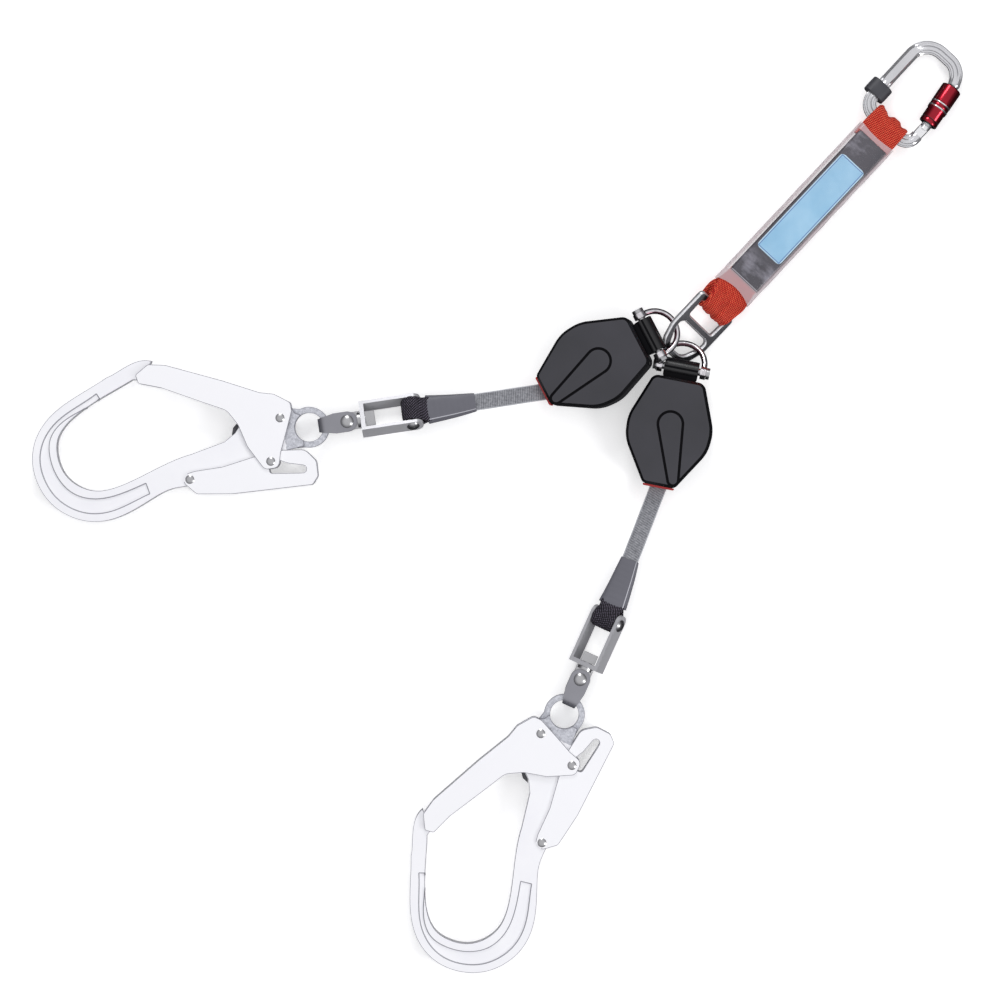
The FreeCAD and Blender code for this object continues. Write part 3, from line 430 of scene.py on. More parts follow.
def anodised_look():
    """Red anodised aluminium with fine turning marks."""
    s = Shader("anodised_red_look", (0.42, 0.008, 0.028), 0.22, 1.0, Coat_Weight=0.4, Coat_Roughness=0.12)
    lines = s.noise(1500, 2.0, 0.5)
    cloud = s.noise(60, 3.0)
    colour = s.mix(s.ranged(cloud, 0, 0.6), (0.36, 0.007, 0.022), (0.19, 0.002, 0.010))
    return s.use(colour, s.ranged(cloud, 0.18, 0.32), s.bump(lines, 0.000012))


def label_look():
    """Plain pale blue printed film with a darker border line, uneven patches of painted highlight and no
    lettering.
    """
    s = Shader("label_look", (0.30, 0.56, 0.78), 0.38)
    uv = s.add("ShaderNodeSeparateXYZ", s.coords("UV"))
    u, v = uv.outputs[0], uv.outputs[1]
    inset = s.math("MINIMUM", s.minus(LABEL_HALF_W, s.absolute(u)), s.minus(LABEL_HALF_L, s.absolute(v)))
    line = s.times(s.math("GREATER_THAN", inset, 0.0011), s.math("LESS_THAN", inset, 0.0017))
    cloud = s.noise(34, 3.0, 0.6, kind="UV")
    # painted highlight: the cloud ramp lays uneven lighter patches across the label
    colour = s.ramp(cloud, (0.25, (0.22, 0.48, 0.70)), (0.75, (0.36, 0.62, 0.82)))
    colour = s.mix(line, colour, (0.05, 0.13, 0.36))
    rim = s.math("LESS_THAN", inset, 0.0009)
    colour = s.mix(rim, colour, (0.50, 0.72, 0.86))
    return s.use(colour, s.ranged(cloud, 0.3, 0.45), s.bump(cloud, 0.0004, 0.4))


LABEL_HALF_W = 0.0126
LABEL_HALF_L = 0.0515
MAT["cover"] = cover_look()
MAT["anodised"] = anodised_look()
MAT["label"] = label_look()


def own_normal(s):
    """True normal in the piece's own space, so that a mask stays put when its joint moves."""
    geometry = s.add("ShaderNodeNewGeometry")
    return s.add("ShaderNodeVectorTransform", geometry.outputs["True Normal"], vector_type="NORMAL",
                 convert_from="WORLD", convert_to="OBJECT").outputs[0]


def facing_mask(s, out, least):
    """1 where the true surface looks along the direction out or away from it, 0 on edges and sides."""
    return s.math("GREATER_THAN", s.absolute(s.dot(own_normal(s), out)), least)


def housing_look(side):
    """Panel that faces out is satin slate; the bevelled rim is gloss black; the floors of the cut groove are
    black too and lose nearly all their reflection, painted shade in the recess.
    """
    s = Shader(side + "_housing_look", (0.025, 0.025, 0.030), 0.42)
    reel = LEGS[side]["reel"]
    out = way_in(reel, 0, 0, 1)
    highest = max(abs(out.dot(v.co - reel.translation)) for v in NODES[side + "_front_shell"].data.vertices)
    level = s.absolute(s.minus(s.dot(s.coords(), out), out.dot(reel.translation)))
    flat = facing_mask(s, out, 0.985)
    panel = s.times(flat, s.math("GREATER_THAN", level, highest - 0.0004))
    groove = s.minus(flat, panel)
    # painted shade: the groove floors lose nearly all their reflection, so they read as dark recesses
    s.links.new(s.minus(0.5, s.times(groove, 0.45)), s.out.inputs["Specular IOR Level"])
    cloud = s.noise(14, 3.0, 0.6)
    fine = s.noise(1500, 2.0, 0.6)
    face = s.ramp(cloud, (0.3, (0.020, 0.020, 0.026)), (0.7, (0.033, 0.032, 0.041)))
    # everything off the panel takes black: the rim's own colour, and painted shade on the groove floors
    colour = s.mix(panel, (0.003, 0.003, 0.004), face)
    rough = s.plus(s.times(panel, 0.22), s.ranged(cloud, 0.20, 0.30))
    return s.use(colour, rough, s.bump(fine, 0.00005, 0.6))


def hook_look(side):
    """Satin aluminium with a coarser, greyer casting round the eye."""
    s = Shader(side + "_hook_look", (0.93, 0.93, 0.955), 0.36, 0.5)
    hook = LEGS[side]["hook"]
    way = way_in(hook, 1, 0, 0)
    along = s.dot(s.coords(), way)
    fine = s.noise(700, 4.0, 0.6)
    coarse = s.noise(430, 4.0, 0.75)
    cloud = s.noise(24, 3.0)
    jagged = s.plus(along, s.times(coarse, 0.002))
    eye = s.math("LESS_THAN", jagged, way.dot(hook.translation) + 0.0215)
    body = s.ramp(cloud, (0.3, (0.90, 0.90, 0.935)), (0.7, (0.95, 0.95, 0.97)))
    cast = s.ramp(coarse, (0.32, (0.36, 0.37, 0.41)), (0.68, (0.70, 0.71, 0.76)))
    rough = s.plus(s.times(eye, 0.14), s.ranged(cloud, 0.30, 0.42))
    grain = s.plus(s.times(fine, 0.12), s.times(eye, coarse))
    return s.use(s.mix(eye, body, cast), rough, s.bump(grain, 0.00012))


def link_edge_highlight_look():
    """Forged link: dark satin faces, with a painted highlight in light grey on all its edges and sides."""
    s = Shader("link_edge_highlight_look", (0.10, 0.10, 0.11), 0.4, 0.8)
    out = joint_way("link_swing").cross(LINK_LIE).normalized()
    face = facing_mask(s, out, 0.955)
    grain = s.noise(520, 3.0, 0.6)
    cloud = s.noise(36, 3.0)
    dark = s.ramp(cloud, (0.3, (0.040, 0.040, 0.045)), (0.7, (0.078, 0.078, 0.085)))
    # painted highlight: every surface that is not a flat face takes this light grey
    light = s.ramp(grain, (0.3, (0.60, 0.60, 0.62)), (0.7, (0.88, 0.88, 0.90)))
    return s.use(s.mix(face, light, dark), s.ranged(cloud, 0.26, 0.46), s.bump(grain, 0.00006))


def shackle_reflection_look(side):
    """Polished bow, with a painted dark plum reflection along its inner side."""
    s = Shader(side + "_shackle_reflection_look", (0.72, 0.70, 0.72), 0.14, 1.0)
    bow = joint_at(side + "_shackle_splay")
    centre = s.add("ShaderNodeVectorMath", bow, s.coords(), operation="SUBTRACT")
    inward = s.add("ShaderNodeVectorMath", centre.outputs[0], operation="NORMALIZE")
    inner = s.math("GREATER_THAN", s.dot(own_normal(s), inward.outputs[0]), 0.22)
    grain = s.noise(300, 3.0, 0.6)
    outside = s.ramp(grain, (0.3, (0.52, 0.50, 0.52)), (0.7, (0.82, 0.80, 0.82)))
    # painted reflection: the inner side of the bow takes this dark plum colour
    inside = s.ramp(grain, (0.3, (0.050, 0.018, 0.028)), (0.7, (0.16, 0.09, 0.11)))
    return s.use(s.mix(inner, outside, inside), s.ranged(grain, 0.10, 0.22), s.bump(grain, 0.00002))


# ---- mesh kit ---------------------------------------------------------
def mesh_object(name, verts, faces, mats, place, uvs=None, smooth_angle=35.0, material_of=None):
    """Object from local millimetre points; uvs are metres per vertex."""
    mesh = bpy.data.meshes.new(name)
    mesh.from_pydata([place @ Vector(v) for v in verts], [], faces)
    mesh.validate()
    for m in mats:
        mesh.materials.append(m)
    if uvs is not None:
        layer = mesh.uv_layers.new(name="UVMap")
        for loop in mesh.loops:
            layer.data[loop.index].uv = uvs[loop.vertex_index]
    bm = bmesh.new()
    bm.from_mesh(mesh)
    bmesh.ops.recalc_face_normals(bm, faces=bm.faces)
    for face in bm.faces:
        face.smooth = True
        if material_of is not None:
            face.material_index = material_of(face.index)
    limit = math.radians(smooth_angle)
    for edge in bm.edges:
        if len(edge.link_faces) == 2 and edge.calc_face_angle(0.0) > limit:
            edge.smooth = False
    bm.to_mesh(mesh)
    bm.free()
    return new_object(name, mesh)


def rings_object(name, rings, mats, place, closed=True, caps=(True, True), uvs=None, angle=35.0,
                 bands=None, columns=None):
    """Skin through rings of equal point counts. bands gives the material of each stretch of rings,
    columns that of each strip along them."""
    count = len(rings[0])
    verts = [p for ring in rings for p in ring]
    faces = []
    owner = []
    steps = count if closed else count - 1
    for i in range(len(rings) - 1):
        for j in range(steps):
            k = (j + 1) % count
            faces.append((i * count + j, i * count + k, (i + 1) * count + k, (i + 1) * count + j))
            owner.append(bands[i] if bands else columns(j) if columns else 0)
    last = (len(rings) - 1) * count
    if closed and caps[0]:
        faces.append(tuple(range(count - 1, -1, -1)))
        owner.append(owner[0])
    if closed and caps[1]:
        faces.append(tuple(range(last, last + count)))
        owner.append(owner[-2] if len(owner) > 1 else 0)
    pick = (lambda i: owner[i]) if bands or columns else None
    return mesh_object(name, verts, faces, mats, place, uvs, angle, pick)


def rounded_path(points, radii, step):
    """Stations along straight runs and tangent arcs, in the plane z = 0: (point, direction)."""
    points = [Vector((x, y)) for x, y in points]
    out = []

    def run(a, b):
        length = (b - a).length
        if length < 1e-6:
            return
        n = max(1, int(length / step))
        for i in range(n):
            out.append((a.lerp(b, i / n), (b - a).normalized()))

    here = points[0]
    for i in range(1, len(points) - 1):
        corner, radius = points[i], radii[i]
        before = (points[i - 1] - corner).normalized()
        after = (points[i + 1] - corner).normalized()
        half = math.acos(max(-1, min(1, before.dot(after)))) / 2
        reach = radius / math.tan(half)
        start, end = corner + before * reach, corner + after * reach
        centre = corner + (before + after).normalized() * (radius / math.sin(half))
        run(here, start)
        a0 = math.atan2(start.y - centre.y, start.x - centre.x)
        sweep = math.pi - 2 * half
        turn = 1 if (-before).x * after.y - (-before).y * after.x > 0 else -1
        n = max(4, int(radius * sweep / step))
        for k in range(n):
            angle = a0 + turn * sweep * k / n
            place = centre + Vector((math.cos(angle), math.sin(angle))) * radius
            out.append((place, Vector((-math.sin(angle), math.cos(angle))) * turn))
        here = end
    run(here, points[-1])
    out.append((points[-1], (points[-1] - here).normalized()))
    return out


def bevelled(obj, width, segments=2, edge_material=None):
    """Softens the sharp edges of a carried-over CAD piece."""
    mod = obj.modifiers.new("edges", "BEVEL")
    mod.width = width * MM
    mod.segments = segments
    mod.limit_method = "ANGLE"
    mod.angle_limit = math.radians(30)
    if edge_material is not None:
        mod.material = edge_material
    return obj


def thickened(obj, thickness):
    """Gives a surface a wall on its inner side."""
    wall = obj.modifiers.new("wall", "SOLIDIFY")
    wall.thickness = thickness * MM
    wall.offset = -1


def paint(node, *mats):
    """Gives a carried-over CAD piece its materials."""
    slots = NODES[node].data.materials
    slots.clear()
    for mat in mats:
        slots.append(mat)


def rivet_corners(side):
    """Search tree over the corners of a hook's rivets and lock pin."""
    points = [v.co for name in ("_hook_rivets", "_lock_pin") for v in NODES[side + name].data.vertices]
    tree = KDTree(len(points))
    for index, point in enumerate(points):
        tree.insert(point, index)
    tree.balance()
    return tree


def painted_shade_outlines(node, body, up, width, mat, rivets):
    """Dark strips of painted shade laid along the flat faces of a plate at its edges, as an outline, on both
    sides, but not round its rivet holes.
    """
    bm = bmesh.new()
    bm.from_mesh(NODES[node].data)
    bmesh.ops.remove_doubles(bm, verts=bm.verts, dist=1e-6)
    bm.normal_update()
    verts, faces = [], []
    for edge in bm.edges:
        middle = (edge.verts[0].co + edge.verts[1].co) / 2
        if len(edge.link_faces) != 2 or rivets.find(middle)[2] < 1.2 * MM:
            continue
        one, two = edge.link_faces
        for flat, other in ((one, two), (two, one)):
            if abs(flat.normal.dot(up)) < 0.97 or abs(other.normal.dot(up)) > 0.8:
                continue
            a, b = edge.verts[0].co, edge.verts[1].co
            inward = flat.normal.cross(b - a).normalized()
            if inward.dot(flat.calc_center_median() - a) < 0:
                inward.negate()
            lift = flat.normal * 0.02 * MM
            start = len(verts)
            verts += [a + lift, b + lift, b + lift + inward * width * MM, a + lift + inward * width * MM]
            faces.append(tuple(range(start, start + 4)))
    bm.free()
    lines = mesh_object(node + "_painted_shade_outline", verts, faces, [mat], Matrix.Identity(4))
    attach(lines, body)


# ---- leg straps, first: each is one flat webbing run ------------------
MOUTH_DEPTH = 3.6
COVERED_TO = 15.0  # the strap's end under the end sleeve, from the yoke pin
STRAIGHT = 14.0
SAG = 0.5
ROUTE_STEPS = 64


def strap_route(side):
    """Smooth centreline from inside the reel's mouth to the end sleeve."""
    leg = LEGS[side]
    length = (leg["exit"] - leg["strap"].translation).length / MM
    start, end = length + MOUTH_DEPTH, COVERED_TO
    marks = [start, start - STRAIGHT, (start + end) / 2, end + STRAIGHT, end]
    drops = [0.0, 0.0, -SAG, 0.0, 0.0]
    data = bpy.data.curves.new(side + "_route", "CURVE")
    data.dimensions = "3D"
    spline = data.splines.new("NURBS")
    spline.points.add(len(marks) - 1)
    for point, x, z in zip(spline.points, marks, drops):
        place = leg["strap"] @ Vector((x, 0, z))
        point.co = (*place, 1.0)
    spline.order_u = 3
    spline.use_endpoint_u = True
    spline.resolution_u = ROUTE_STEPS // (len(marks) - 1)
    obj = new_object(side + "_route", data)
    mesh = bpy.data.meshes.new_from_object(obj)
    route = [v.co.copy() for v in mesh.vertices]
    bpy.data.objects.remove(obj)
    return route


def flat_section(width, thick, edge):
    """Flat strap section with rolled edges: (across, up) points all round."""
    w, t = width / 2, thick / 2
    upper = [(-w, 0.0), (-w + edge * 0.3, t * 0.75), (-w + edge, t)]
    upper += [(-w + edge + (width - 2 * edge) * i / 8, t) for i in range(1, 8)]
    upper += [(w - edge, t), (w - edge * 0.3, t * 0.75), (w, 0.0)]
    lower = [(x, -z) for x, z in reversed(upper[1:-1])]
    return upper + lower


def leg_strap(side):
    """Grey webbing with a faint wave along it, which stretches between the reel and the leg end."""
    leg = LEGS[side]
    route = strap_route(side)
    across = way_in(leg["strap"], 0, 1, 0)
    section = flat_section(13.8, 1.8, 1.2)
    uvs, rings = [], []
    travelled = 0.0
    for i, place in enumerate(route):
        if i:
            travelled += (place - route[i - 1]).length
        along = (route[min(i + 1, len(route) - 1)] - route[max(i - 1, 0)]).normalized()
        up = along.cross(across).normalized()
        wave = 0.16 * math.sin(travelled * 190) + 0.1 * math.sin(travelled * 410 + 1)
        wider = 1 + 0.006 * math.sin(travelled * 260)
        rings.append([place + across * (y * MM * wider) + up * ((z + wave) * MM) for y, z in section])
        uvs += [(y * MM, travelled) for y, z in section]
    strap = rings_object(side + "_leg_strap", rings, [MAT["grey_strap"]], Matrix.Identity(4), uvs=uvs)
    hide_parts(side + "_strap")
    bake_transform(strap)


for side in LEGS:
    leg_strap(side)


# ---- carabiner --------------------------------------------------------
ROD_SECTION = [
    (5.45, 0.0), (5.3, 1.6), (4.4, 2.0), (4.2, 3.4), (2.9, 3.6), (2.5, 4.8), (1.2, 4.6), (0.0, 5.15)]
PANEL_SECTION = [
    (5.3, 0.0), (5.2, 1.4), (4.6, 2.4), (4.3, 3.2), (3.5, 4.5), (3.0, 4.9), (1.4, 4.9), (0.0, 4.9)]
ROD_R = 5.0
HINGE = Vector((22.5, 23.0))
NOSE_REACH = 40.2  # from the hinge to the end of the bow
SPINE_LOW, SPINE_HIGH = 22, 68
FADE = 12  # length over which the spine's flat top runs out
END_RINGS = 7  # rings over which each end turns round


def full_section(quarter):
    """Closed section from one quarter of it, mirrored both ways."""
    left = [(-x, z) for x, z in reversed(quarter[:-1])]
    top = quarter + left
    return top + [(x, -z) for x, z in reversed(top[1:-1])]


def carabiner_rod():
    """Forged bow: ridged section on the bends, flat-topped along the spine, round at its ends."""
    local = way_in(CARABINER.inverted(), *way_in(GATE, 1, 0, 0))
    nose = HINGE + Vector((local.x, local.y)) * NOSE_REACH
    points = [(22.5, 11.5), (22.5, 0), (-26, 0), (-26.3, 75.5), (10.3, 75.9), (nose.x, nose.y)]
    stations = rounded_path(points, [0, 9.5, 11, 18, 16, 0], 1.3)
    ridge = full_section(ROD_SECTION)
    panel = full_section(PANEL_SECTION)
    total = len(stations)
    rings = []
    for i, (place, way) in enumerate(stations):
        side = Vector((-way.y, way.x))
        on_spine = place.x < -15
        flat = smooth(min(place.y - SPINE_LOW, SPINE_HIGH - place.y) / FADE) if on_spine else 0.0
        ends = min(1.0, i / END_RINGS, (total - 1 - i) / END_RINGS)
        ring = []
        for (a, b), (c, d) in zip(ridge, panel):
            x, z = a + (c - a) * flat, b + (d - b) * flat
            round_scale = ROD_R / math.hypot(x, z)
            x, z = (v * ends + v * round_scale * (1 - ends) for v in (x, z))
            spot = place + side * x
            ring.append((spot.x, spot.y, z))
        rings.append(ring)
    rod = rings_object("carabiner_rod", rings, [MAT["rod"]], CARABINER, angle=22)
    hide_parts("carabiner_body")
    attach(rod, "carabiner")
    tongue_rings = []
    for x, r in ((33.0, 2.6), (33.6, 3.2), (38.5, 3.3), (39.4, 4.4), (41.4, 4.9)):
        tongue_rings.append([(x, r * math.cos(t), r * math.sin(t)) for t in around(28)])
    tongue = rings_object("carabiner_nose", tongue_rings, [MAT["rod"]], GATE)
    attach(tongue, "carabiner")


def block_object(name, low, high, bevel, mat, place):
    """Machined block with rounded edges."""
    bm = bmesh.new()
    bmesh.ops.create_cube(bm, size=1.0)
    size = Vector(high) - Vector(low)
    middle = (Vector(high) + Vector(low)) / 2
    for v in bm.verts:
        v.co = Vector((v.co.x * size.x, v.co.y * size.y, v.co.z * size.z)) + middle
    bmesh.ops.bevel(bm, geom=list(bm.edges), offset=bevel, segments=3, profile=0.6, affect="EDGES")
    verts = [tuple(v.co) for v in bm.verts]
    bm.verts.index_update()
    faces = [[v.index for v in f.verts] for f in bm.faces]
    bm.free()
    return mesh_object(name, verts, faces, [mat], place)


def hinge_block():
    """Flat lug at the foot of the bow, and the pin through it that the gate turns on."""
    low, high = (18.2, 10.0, -2.15), (26.8, 27.2, 2.15)
    block = block_object("carabiner_hinge", low, high, 1.6, MAT["bright"], CARABINER)
    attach(block, "carabiner")
    rings = []
    for z, r in ((-4.75, 0.8), (-4.75, 1.9), (-4.45, 2.2), (4.45, 2.2), (4.75, 1.9), (4.75, 0.8)):
        rings.append([(r * math.cos(t), r * math.sin(t), z) for t in around(28)])
    pin = rings_object("hinge_pin", rings, [MAT["zinc"]], GATE)
    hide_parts("gate_pin")
    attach(pin, "carabiner")


def keeper_band():
    """Moulded rubber band on the spine, with soft edges."""
    spine_x, half_x, half_z, power = -26.1, 9.7, 8.3, 2 / 2.8
    rings = []
    for y, grow in (
        (10.9, -0.7), (11.05, -0.25), (11.4, 0.0), (17.0, 0.1), (22.9, 0.0), (23.25, -0.25), (23.4, -0.7),
    ):
        ring = []
        for t in around(48):
            c, s = math.cos(t), math.sin(t)
            x = (half_x + grow) * math.copysign(abs(c) ** power, c)
            ring.append((spine_x + x, y, (half_z + grow) * math.copysign(abs(s) ** power, s)))
        rings.append(ring)
    band = rings_object("keeper_band", rings, [MAT["keeper"]], CARABINER)
    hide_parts("carabiner_keeper")
    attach(band, "carabiner")


RED, BRIGHT, DARK = range(3)
SLEEVE_PROFILE = [  # along the gate, radius, material of the stretch that follows
    (2.2, 5.6, DARK), (1.5, 6.9, DARK), (1.7, 7.6, RED), (2.3, 7.85, RED), (5.2, 7.85, RED), (5.6, 7.6, DARK),
    (6.0, 7.85, RED), (13.6, 7.85, RED), (14.6, 8.45, RED), (15.6, 8.5, RED), (15.9, 8.2, BRIGHT),
    (16.4, 8.65, BRIGHT), (17.2, 8.65, BRIGHT), (17.6, 8.2, RED), (18.0, 8.4, RED), (20.1, 8.4, RED),
    (20.4, 8.2, BRIGHT), (20.8, 8.65, BRIGHT), (21.6, 8.65, BRIGHT), (22.1, 8.2, RED), (22.5, 8.55, RED),
    (36.4, 8.6, RED), (37.2, 8.4, RED), (37.8, 7.6, DARK), (37.6, 5.6, DARK),
]


def sleeve():
    """Turned and anodised locking sleeve with two bright rings and fine flutes on its upper part."""
    rings, bands = [], []
    for x, r, mat in SLEEVE_PROFILE:
        ring = []
        for t in around(72):
            flute = 0.10 * max(0.0, math.cos(18 * t)) if 23 < x < 36.6 else 0.0
            ring.append((x, (r - flute) * math.cos(t), (r - flute) * math.sin(t)))
        rings.append(ring)
        bands.append(mat)
    mats = [MAT["anodised"], MAT["bright"], MAT["black"]]
    sleeve_obj = rings_object("locking_sleeve_turned", rings, mats, GATE, caps=(False, False), bands=bands)
    thickened(sleeve_obj, 0.5)
    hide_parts("locking_sleeve")
    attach(sleeve_obj, "sleeve")


carabiner_rod()
hinge_block()
keeper_band()
sleeve()
paint("carabiner_gate", MAT["bright"])
bevelled(NODES["carabiner_gate"], 0.4)
paint("gate_spring", MAT["spring"])


# ---- energy absorber --------------------------------------------------
def bumps(x, y, z, size):
    """Smooth seeded undulation from -1 to 1."""
    return noise.noise(Vector((x / size, y / size, z / size)))


HALF_THICK = 0.95  # half the thickness of the absorber's webbing


def webbing_band(name, path, width_at, lift, place_at, mat, body, slot, uv_start=0.0, across_steps=40):
    """Strap along path, a list of (y, z) points in mm. place_at maps (across, y, z, share) to a point."""
    rings, uvs = [], []
    travelled = uv_start
    for i, (y, z) in enumerate(path):
        if i:
            travelled += math.dist(path[i - 1], path[i])
        share = i / (len(path) - 1)
        width = width_at(share)
        ahead, behind = path[min(i + 1, len(path) - 1)], path[max(i - 1, 0)]
        tangent = Vector((ahead[0] - behind[0], ahead[1] - behind[1])).normalized()
        normal = Vector((-tangent.y, tangent.x))
        outer, inner = [], []
        for j in range(across_steps + 1):
            a = -1 + 2 * j / across_steps
            x = a * width / 2
            rise = lift(a, share, x, y, z)
            edge = 1 - 0.55 * max(0.0, (abs(a) - 0.93) / 0.07)
            for out_list, level in ((outer, rise + HALF_THICK * edge), (inner, rise - HALF_THICK * edge)):
                out_list.append(place_at(x, y + normal.x * level, z + normal.y * level, share))
        rings.append(outer + inner[::-1])
        uvs += [((-1 + 2 * j / across_steps) * width / 2 * MM, travelled * MM)
                for j in list(range(across_steps + 1)) + list(range(across_steps, -1, -1))]
    band = rings_object(name, rings, [mat], Matrix.Identity(4), uvs=uvs, angle=60)
    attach(band, body)
    return band


def loop_path(start_y, bar_y, sign, radius, spread, steps=30):
    """Path in (y, z): out along the top, round the bar and back underneath."""
    top = [(start_y + (bar_y - start_y) * i / steps, spread + (radius - spread) * smooth(i / steps))
           for i in range(steps)]
    bend = []
    for i in range(steps + 1):
        angle = math.pi / 2 - math.pi * i / steps
        bend.append((bar_y + sign * radius * math.cos(angle), radius * math.sin(angle)))
    return top + bend + [(y, -z) for y, z in reversed(top)]


LOOP_START = 74  # both loops start inside the pack, this far from its middle


def upper_loop():
    """Upper loop round the carabiner's bow: an outer and an inner ply."""
    path = loop_path(LOOP_START, UPPER_BAR_Y, 1, 8.5, 7.2)

    def lift(a, share, x, y, z):
        bar = bell(share - 0.5, 0.16)
        folds = 0.75 * math.sin(a * 7.5 + 0.6) + 0.45 * math.sin(a * 15 + 2)
        return 0.9 * bar * folds + 0.7 * bumps(x, y * 0.6, z, 6.5) - 0.25

    def place(x, y, z, share):
        curl = 0.9 * math.sin(x * 0.35)
        return ABSORBER @ Vector((x - 1.0, y + curl * bell(share - 0.5, 0.2), z + PACK_Z))

    def width(share):
        return 32.4 + 0.8 * math.sin(share * 9)

    red = (lift, place, MAT["red"], "absorber", "red_webbing")
    band = webbing_band("webbing_upper_outer", path, width, *red)
    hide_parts("tear_webbing")
    inner = loop_path(LOOP_START, 84.5, 1, 3.2, 4.4)
    webbing_band("webbing_upper_inner", inner, width, *red)


def lower_loop():
    """Gathered lower loop, which turns with the bar of the link and bunches over it."""
    bar_x = joint_way("link_swing")
    roll = math.atan2(-bar_x.z, bar_x.x)
    bar = (joint_at("link_swing") - SHIFT) / MM

    def lift(a, share, x, y, z):
        bar_near = bell(share - 0.5, 0.2)
        folds = 0.55 * math.sin(a * 9 + 1.1) + 0.4 * math.sin(a * 17)
        return (0.25 + 0.75 * bar_near) * folds + 0.8 * bumps(x, y * 0.5, z + 9, 5.5) + 0.15

    def place(x, y, z, share):
        t = smooth((-84 - y) / 18)
        angle = -roll * t
        c, s = math.cos(angle), math.sin(angle)
        turned = Vector((x * c - z * s, y, x * s + z * c))
        centre_x = -0.6 + (bar.x + 0.6) * t
        centre_z = PACK_Z + (bar.z - PACK_Z) * t
        return ABSORBER @ (turned + Vector((centre_x, 0, centre_z)))

    def width(share):
        return 29.0 + 4.0 * bell(abs(share - 0.5) - 0.27, 0.10)

    plies = (("outer", -109, 6.9, 7.4), ("middle", -109, 4.9, 5.0), ("inner", -101, 1.6, 2.4))
    for name, end, radius, spread in plies:
        path = loop_path(-LOOP_START, end, -1, radius, spread)
        webbing_band("webbing_lower_" + name, path, width, lift, place, MAT["red"], "absorber",
                     "red_webbing", 0.3)


def pack_section(half_w, half_t, radius, steps=7):
    """Rounded rectangle as (x, z) points, counter-clockwise, closer together along its top and bottom."""
    ring = []
    for cx, cz, start in ((1, 1, 0), (-1, 1, 90), (-1, -1, 180), (1, -1, 270)):
        for i in range(steps + 1):
            angle = math.radians(start + 90 * i / steps)
            ring.append((cx * (half_w - radius) + radius * math.cos(angle),
                         cz * (half_t - radius) + radius * math.sin(angle)))
        if start in (0, 180):
            x0, z0 = ring[-1]
            far = -cx * (half_w - radius)
            ring += [(x0 + (far - x0) * k / 10, z0) for k in range(1, 10)]
    return ring


def end_crumple(x, y):
    """Creases of the film where it is pulled in near the pack's ends."""
    near_end = bell(abs(y) - 58, 13)
    return 0.55 * near_end * bumps(x, y, 3, 9) + 0.22 * bumps(x, y, 8, 16)


COVER_END = 77.6
COVER_HALF = (15.1, 10.1)


def pack_cover():
    """Slate film drawn tight over the folded webbing, with a crease across each end."""
    half_w, half_t = COVER_HALF
    rings = []
    for y in np.linspace(-COVER_END, COVER_END, 90):
        end = max(0.0, (abs(y) - 70) / 7.6)
        shrink = 0.5 * end ** 3
        dent = -0.35 * bell(abs(y) - 75.0, 1.1)
        ring = []
        for x, z in pack_section(half_w - shrink, half_t - 0.5 * shrink, 2.6):
            rise = (end_crumple(x, y) + dent) * math.copysign(1, z) * min(1.0, abs(z) / 8)
            ring.append((x, y, PACK_Z + z + rise))
        rings.append(ring)
    cover = rings_object("pack_cover", rings, [MAT["cover"]], ABSORBER, angle=50)
    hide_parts("inner_cover")
    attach(cover, "absorber")


def label_sheet():
    """Plain label lying on the cover and following its rounded shoulders."""
    half_w, half_l = LABEL_HALF_W / MM, LABEL_HALF_L / MM
    corner = 3.2
    middle = 2.5
    nx, ny = 36, 120
    verts, uvs, faces = [], [], []
    for i in range(ny + 1):
        v = -half_l + 2 * half_l * i / ny
        for j in range(nx + 1):
            share = -1 + 2 * j / nx
            limit = half_w
            if abs(v) > half_l - corner:
                over = abs(v) - (half_l - corner)
                limit = half_w - corner + math.sqrt(max(0.0, corner ** 2 - over ** 2))
            u = share * limit
            shoulder = max(0.0, abs(u) - 12.3)
            z = 10.22 - 0.32 * shoulder ** 1.5 + end_crumple(u, v + middle)
            verts.append((u, v + middle, PACK_Z + z))
            uvs.append((u * MM, v * MM))
    for i in range(ny):
        for j in range(nx):
            a = i * (nx + 1) + j
            faces.append((a, a + 1, a + nx + 2, a + nx + 1))
    sheet = mesh_object("label_film", verts, faces, [MAT["label"]], ABSORBER, uvs)
    thickened(sheet, 0.25)
    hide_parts("label")
    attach(sheet, "absorber")


def film_sleeve():
    """Clear outer sleeve, wider than the pack, soft and slightly rippled, open at both ends."""
    rings, uvs = [], []
    for y in np.linspace(-90.6, 83.6, 110):
        ends = max(0.0, (-76 - y) / 15, (y - 76) / 8)
        mouth = 4.4 * max(0.0, (-78 - y) / 12.6) - 2.0 * max(0.0, (y - 76) / 7.6)
        ring = []
        for x, z in pack_section(18.0, 12.6 - 2.0 * ends, 6.5 - 1.2 * ends):
            ripple = 0.35 * bumps(x, y * 0.45, z, 7) + 0.25 * bumps(x, y, z, 22)
            norm = Vector((x, z)).normalized()
            arch = y + mouth * (1 - (x / 18) ** 2)
            ring.append((x + norm.x * ripple - 1.0, arch, z + norm.y * ripple + PACK_Z))
            uvs.append((x * MM, arch * MM))
        rings.append(ring)
    film = rings_object("clear_film_sleeve", rings, [MAT["film"]], ABSORBER, caps=(False, False), uvs=uvs,
                        angle=70)
    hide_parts("clear_sleeve")
    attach(film, "absorber")


upper_loop()
lower_loop()
pack_cover()
label_sheet()
film_sleeve()

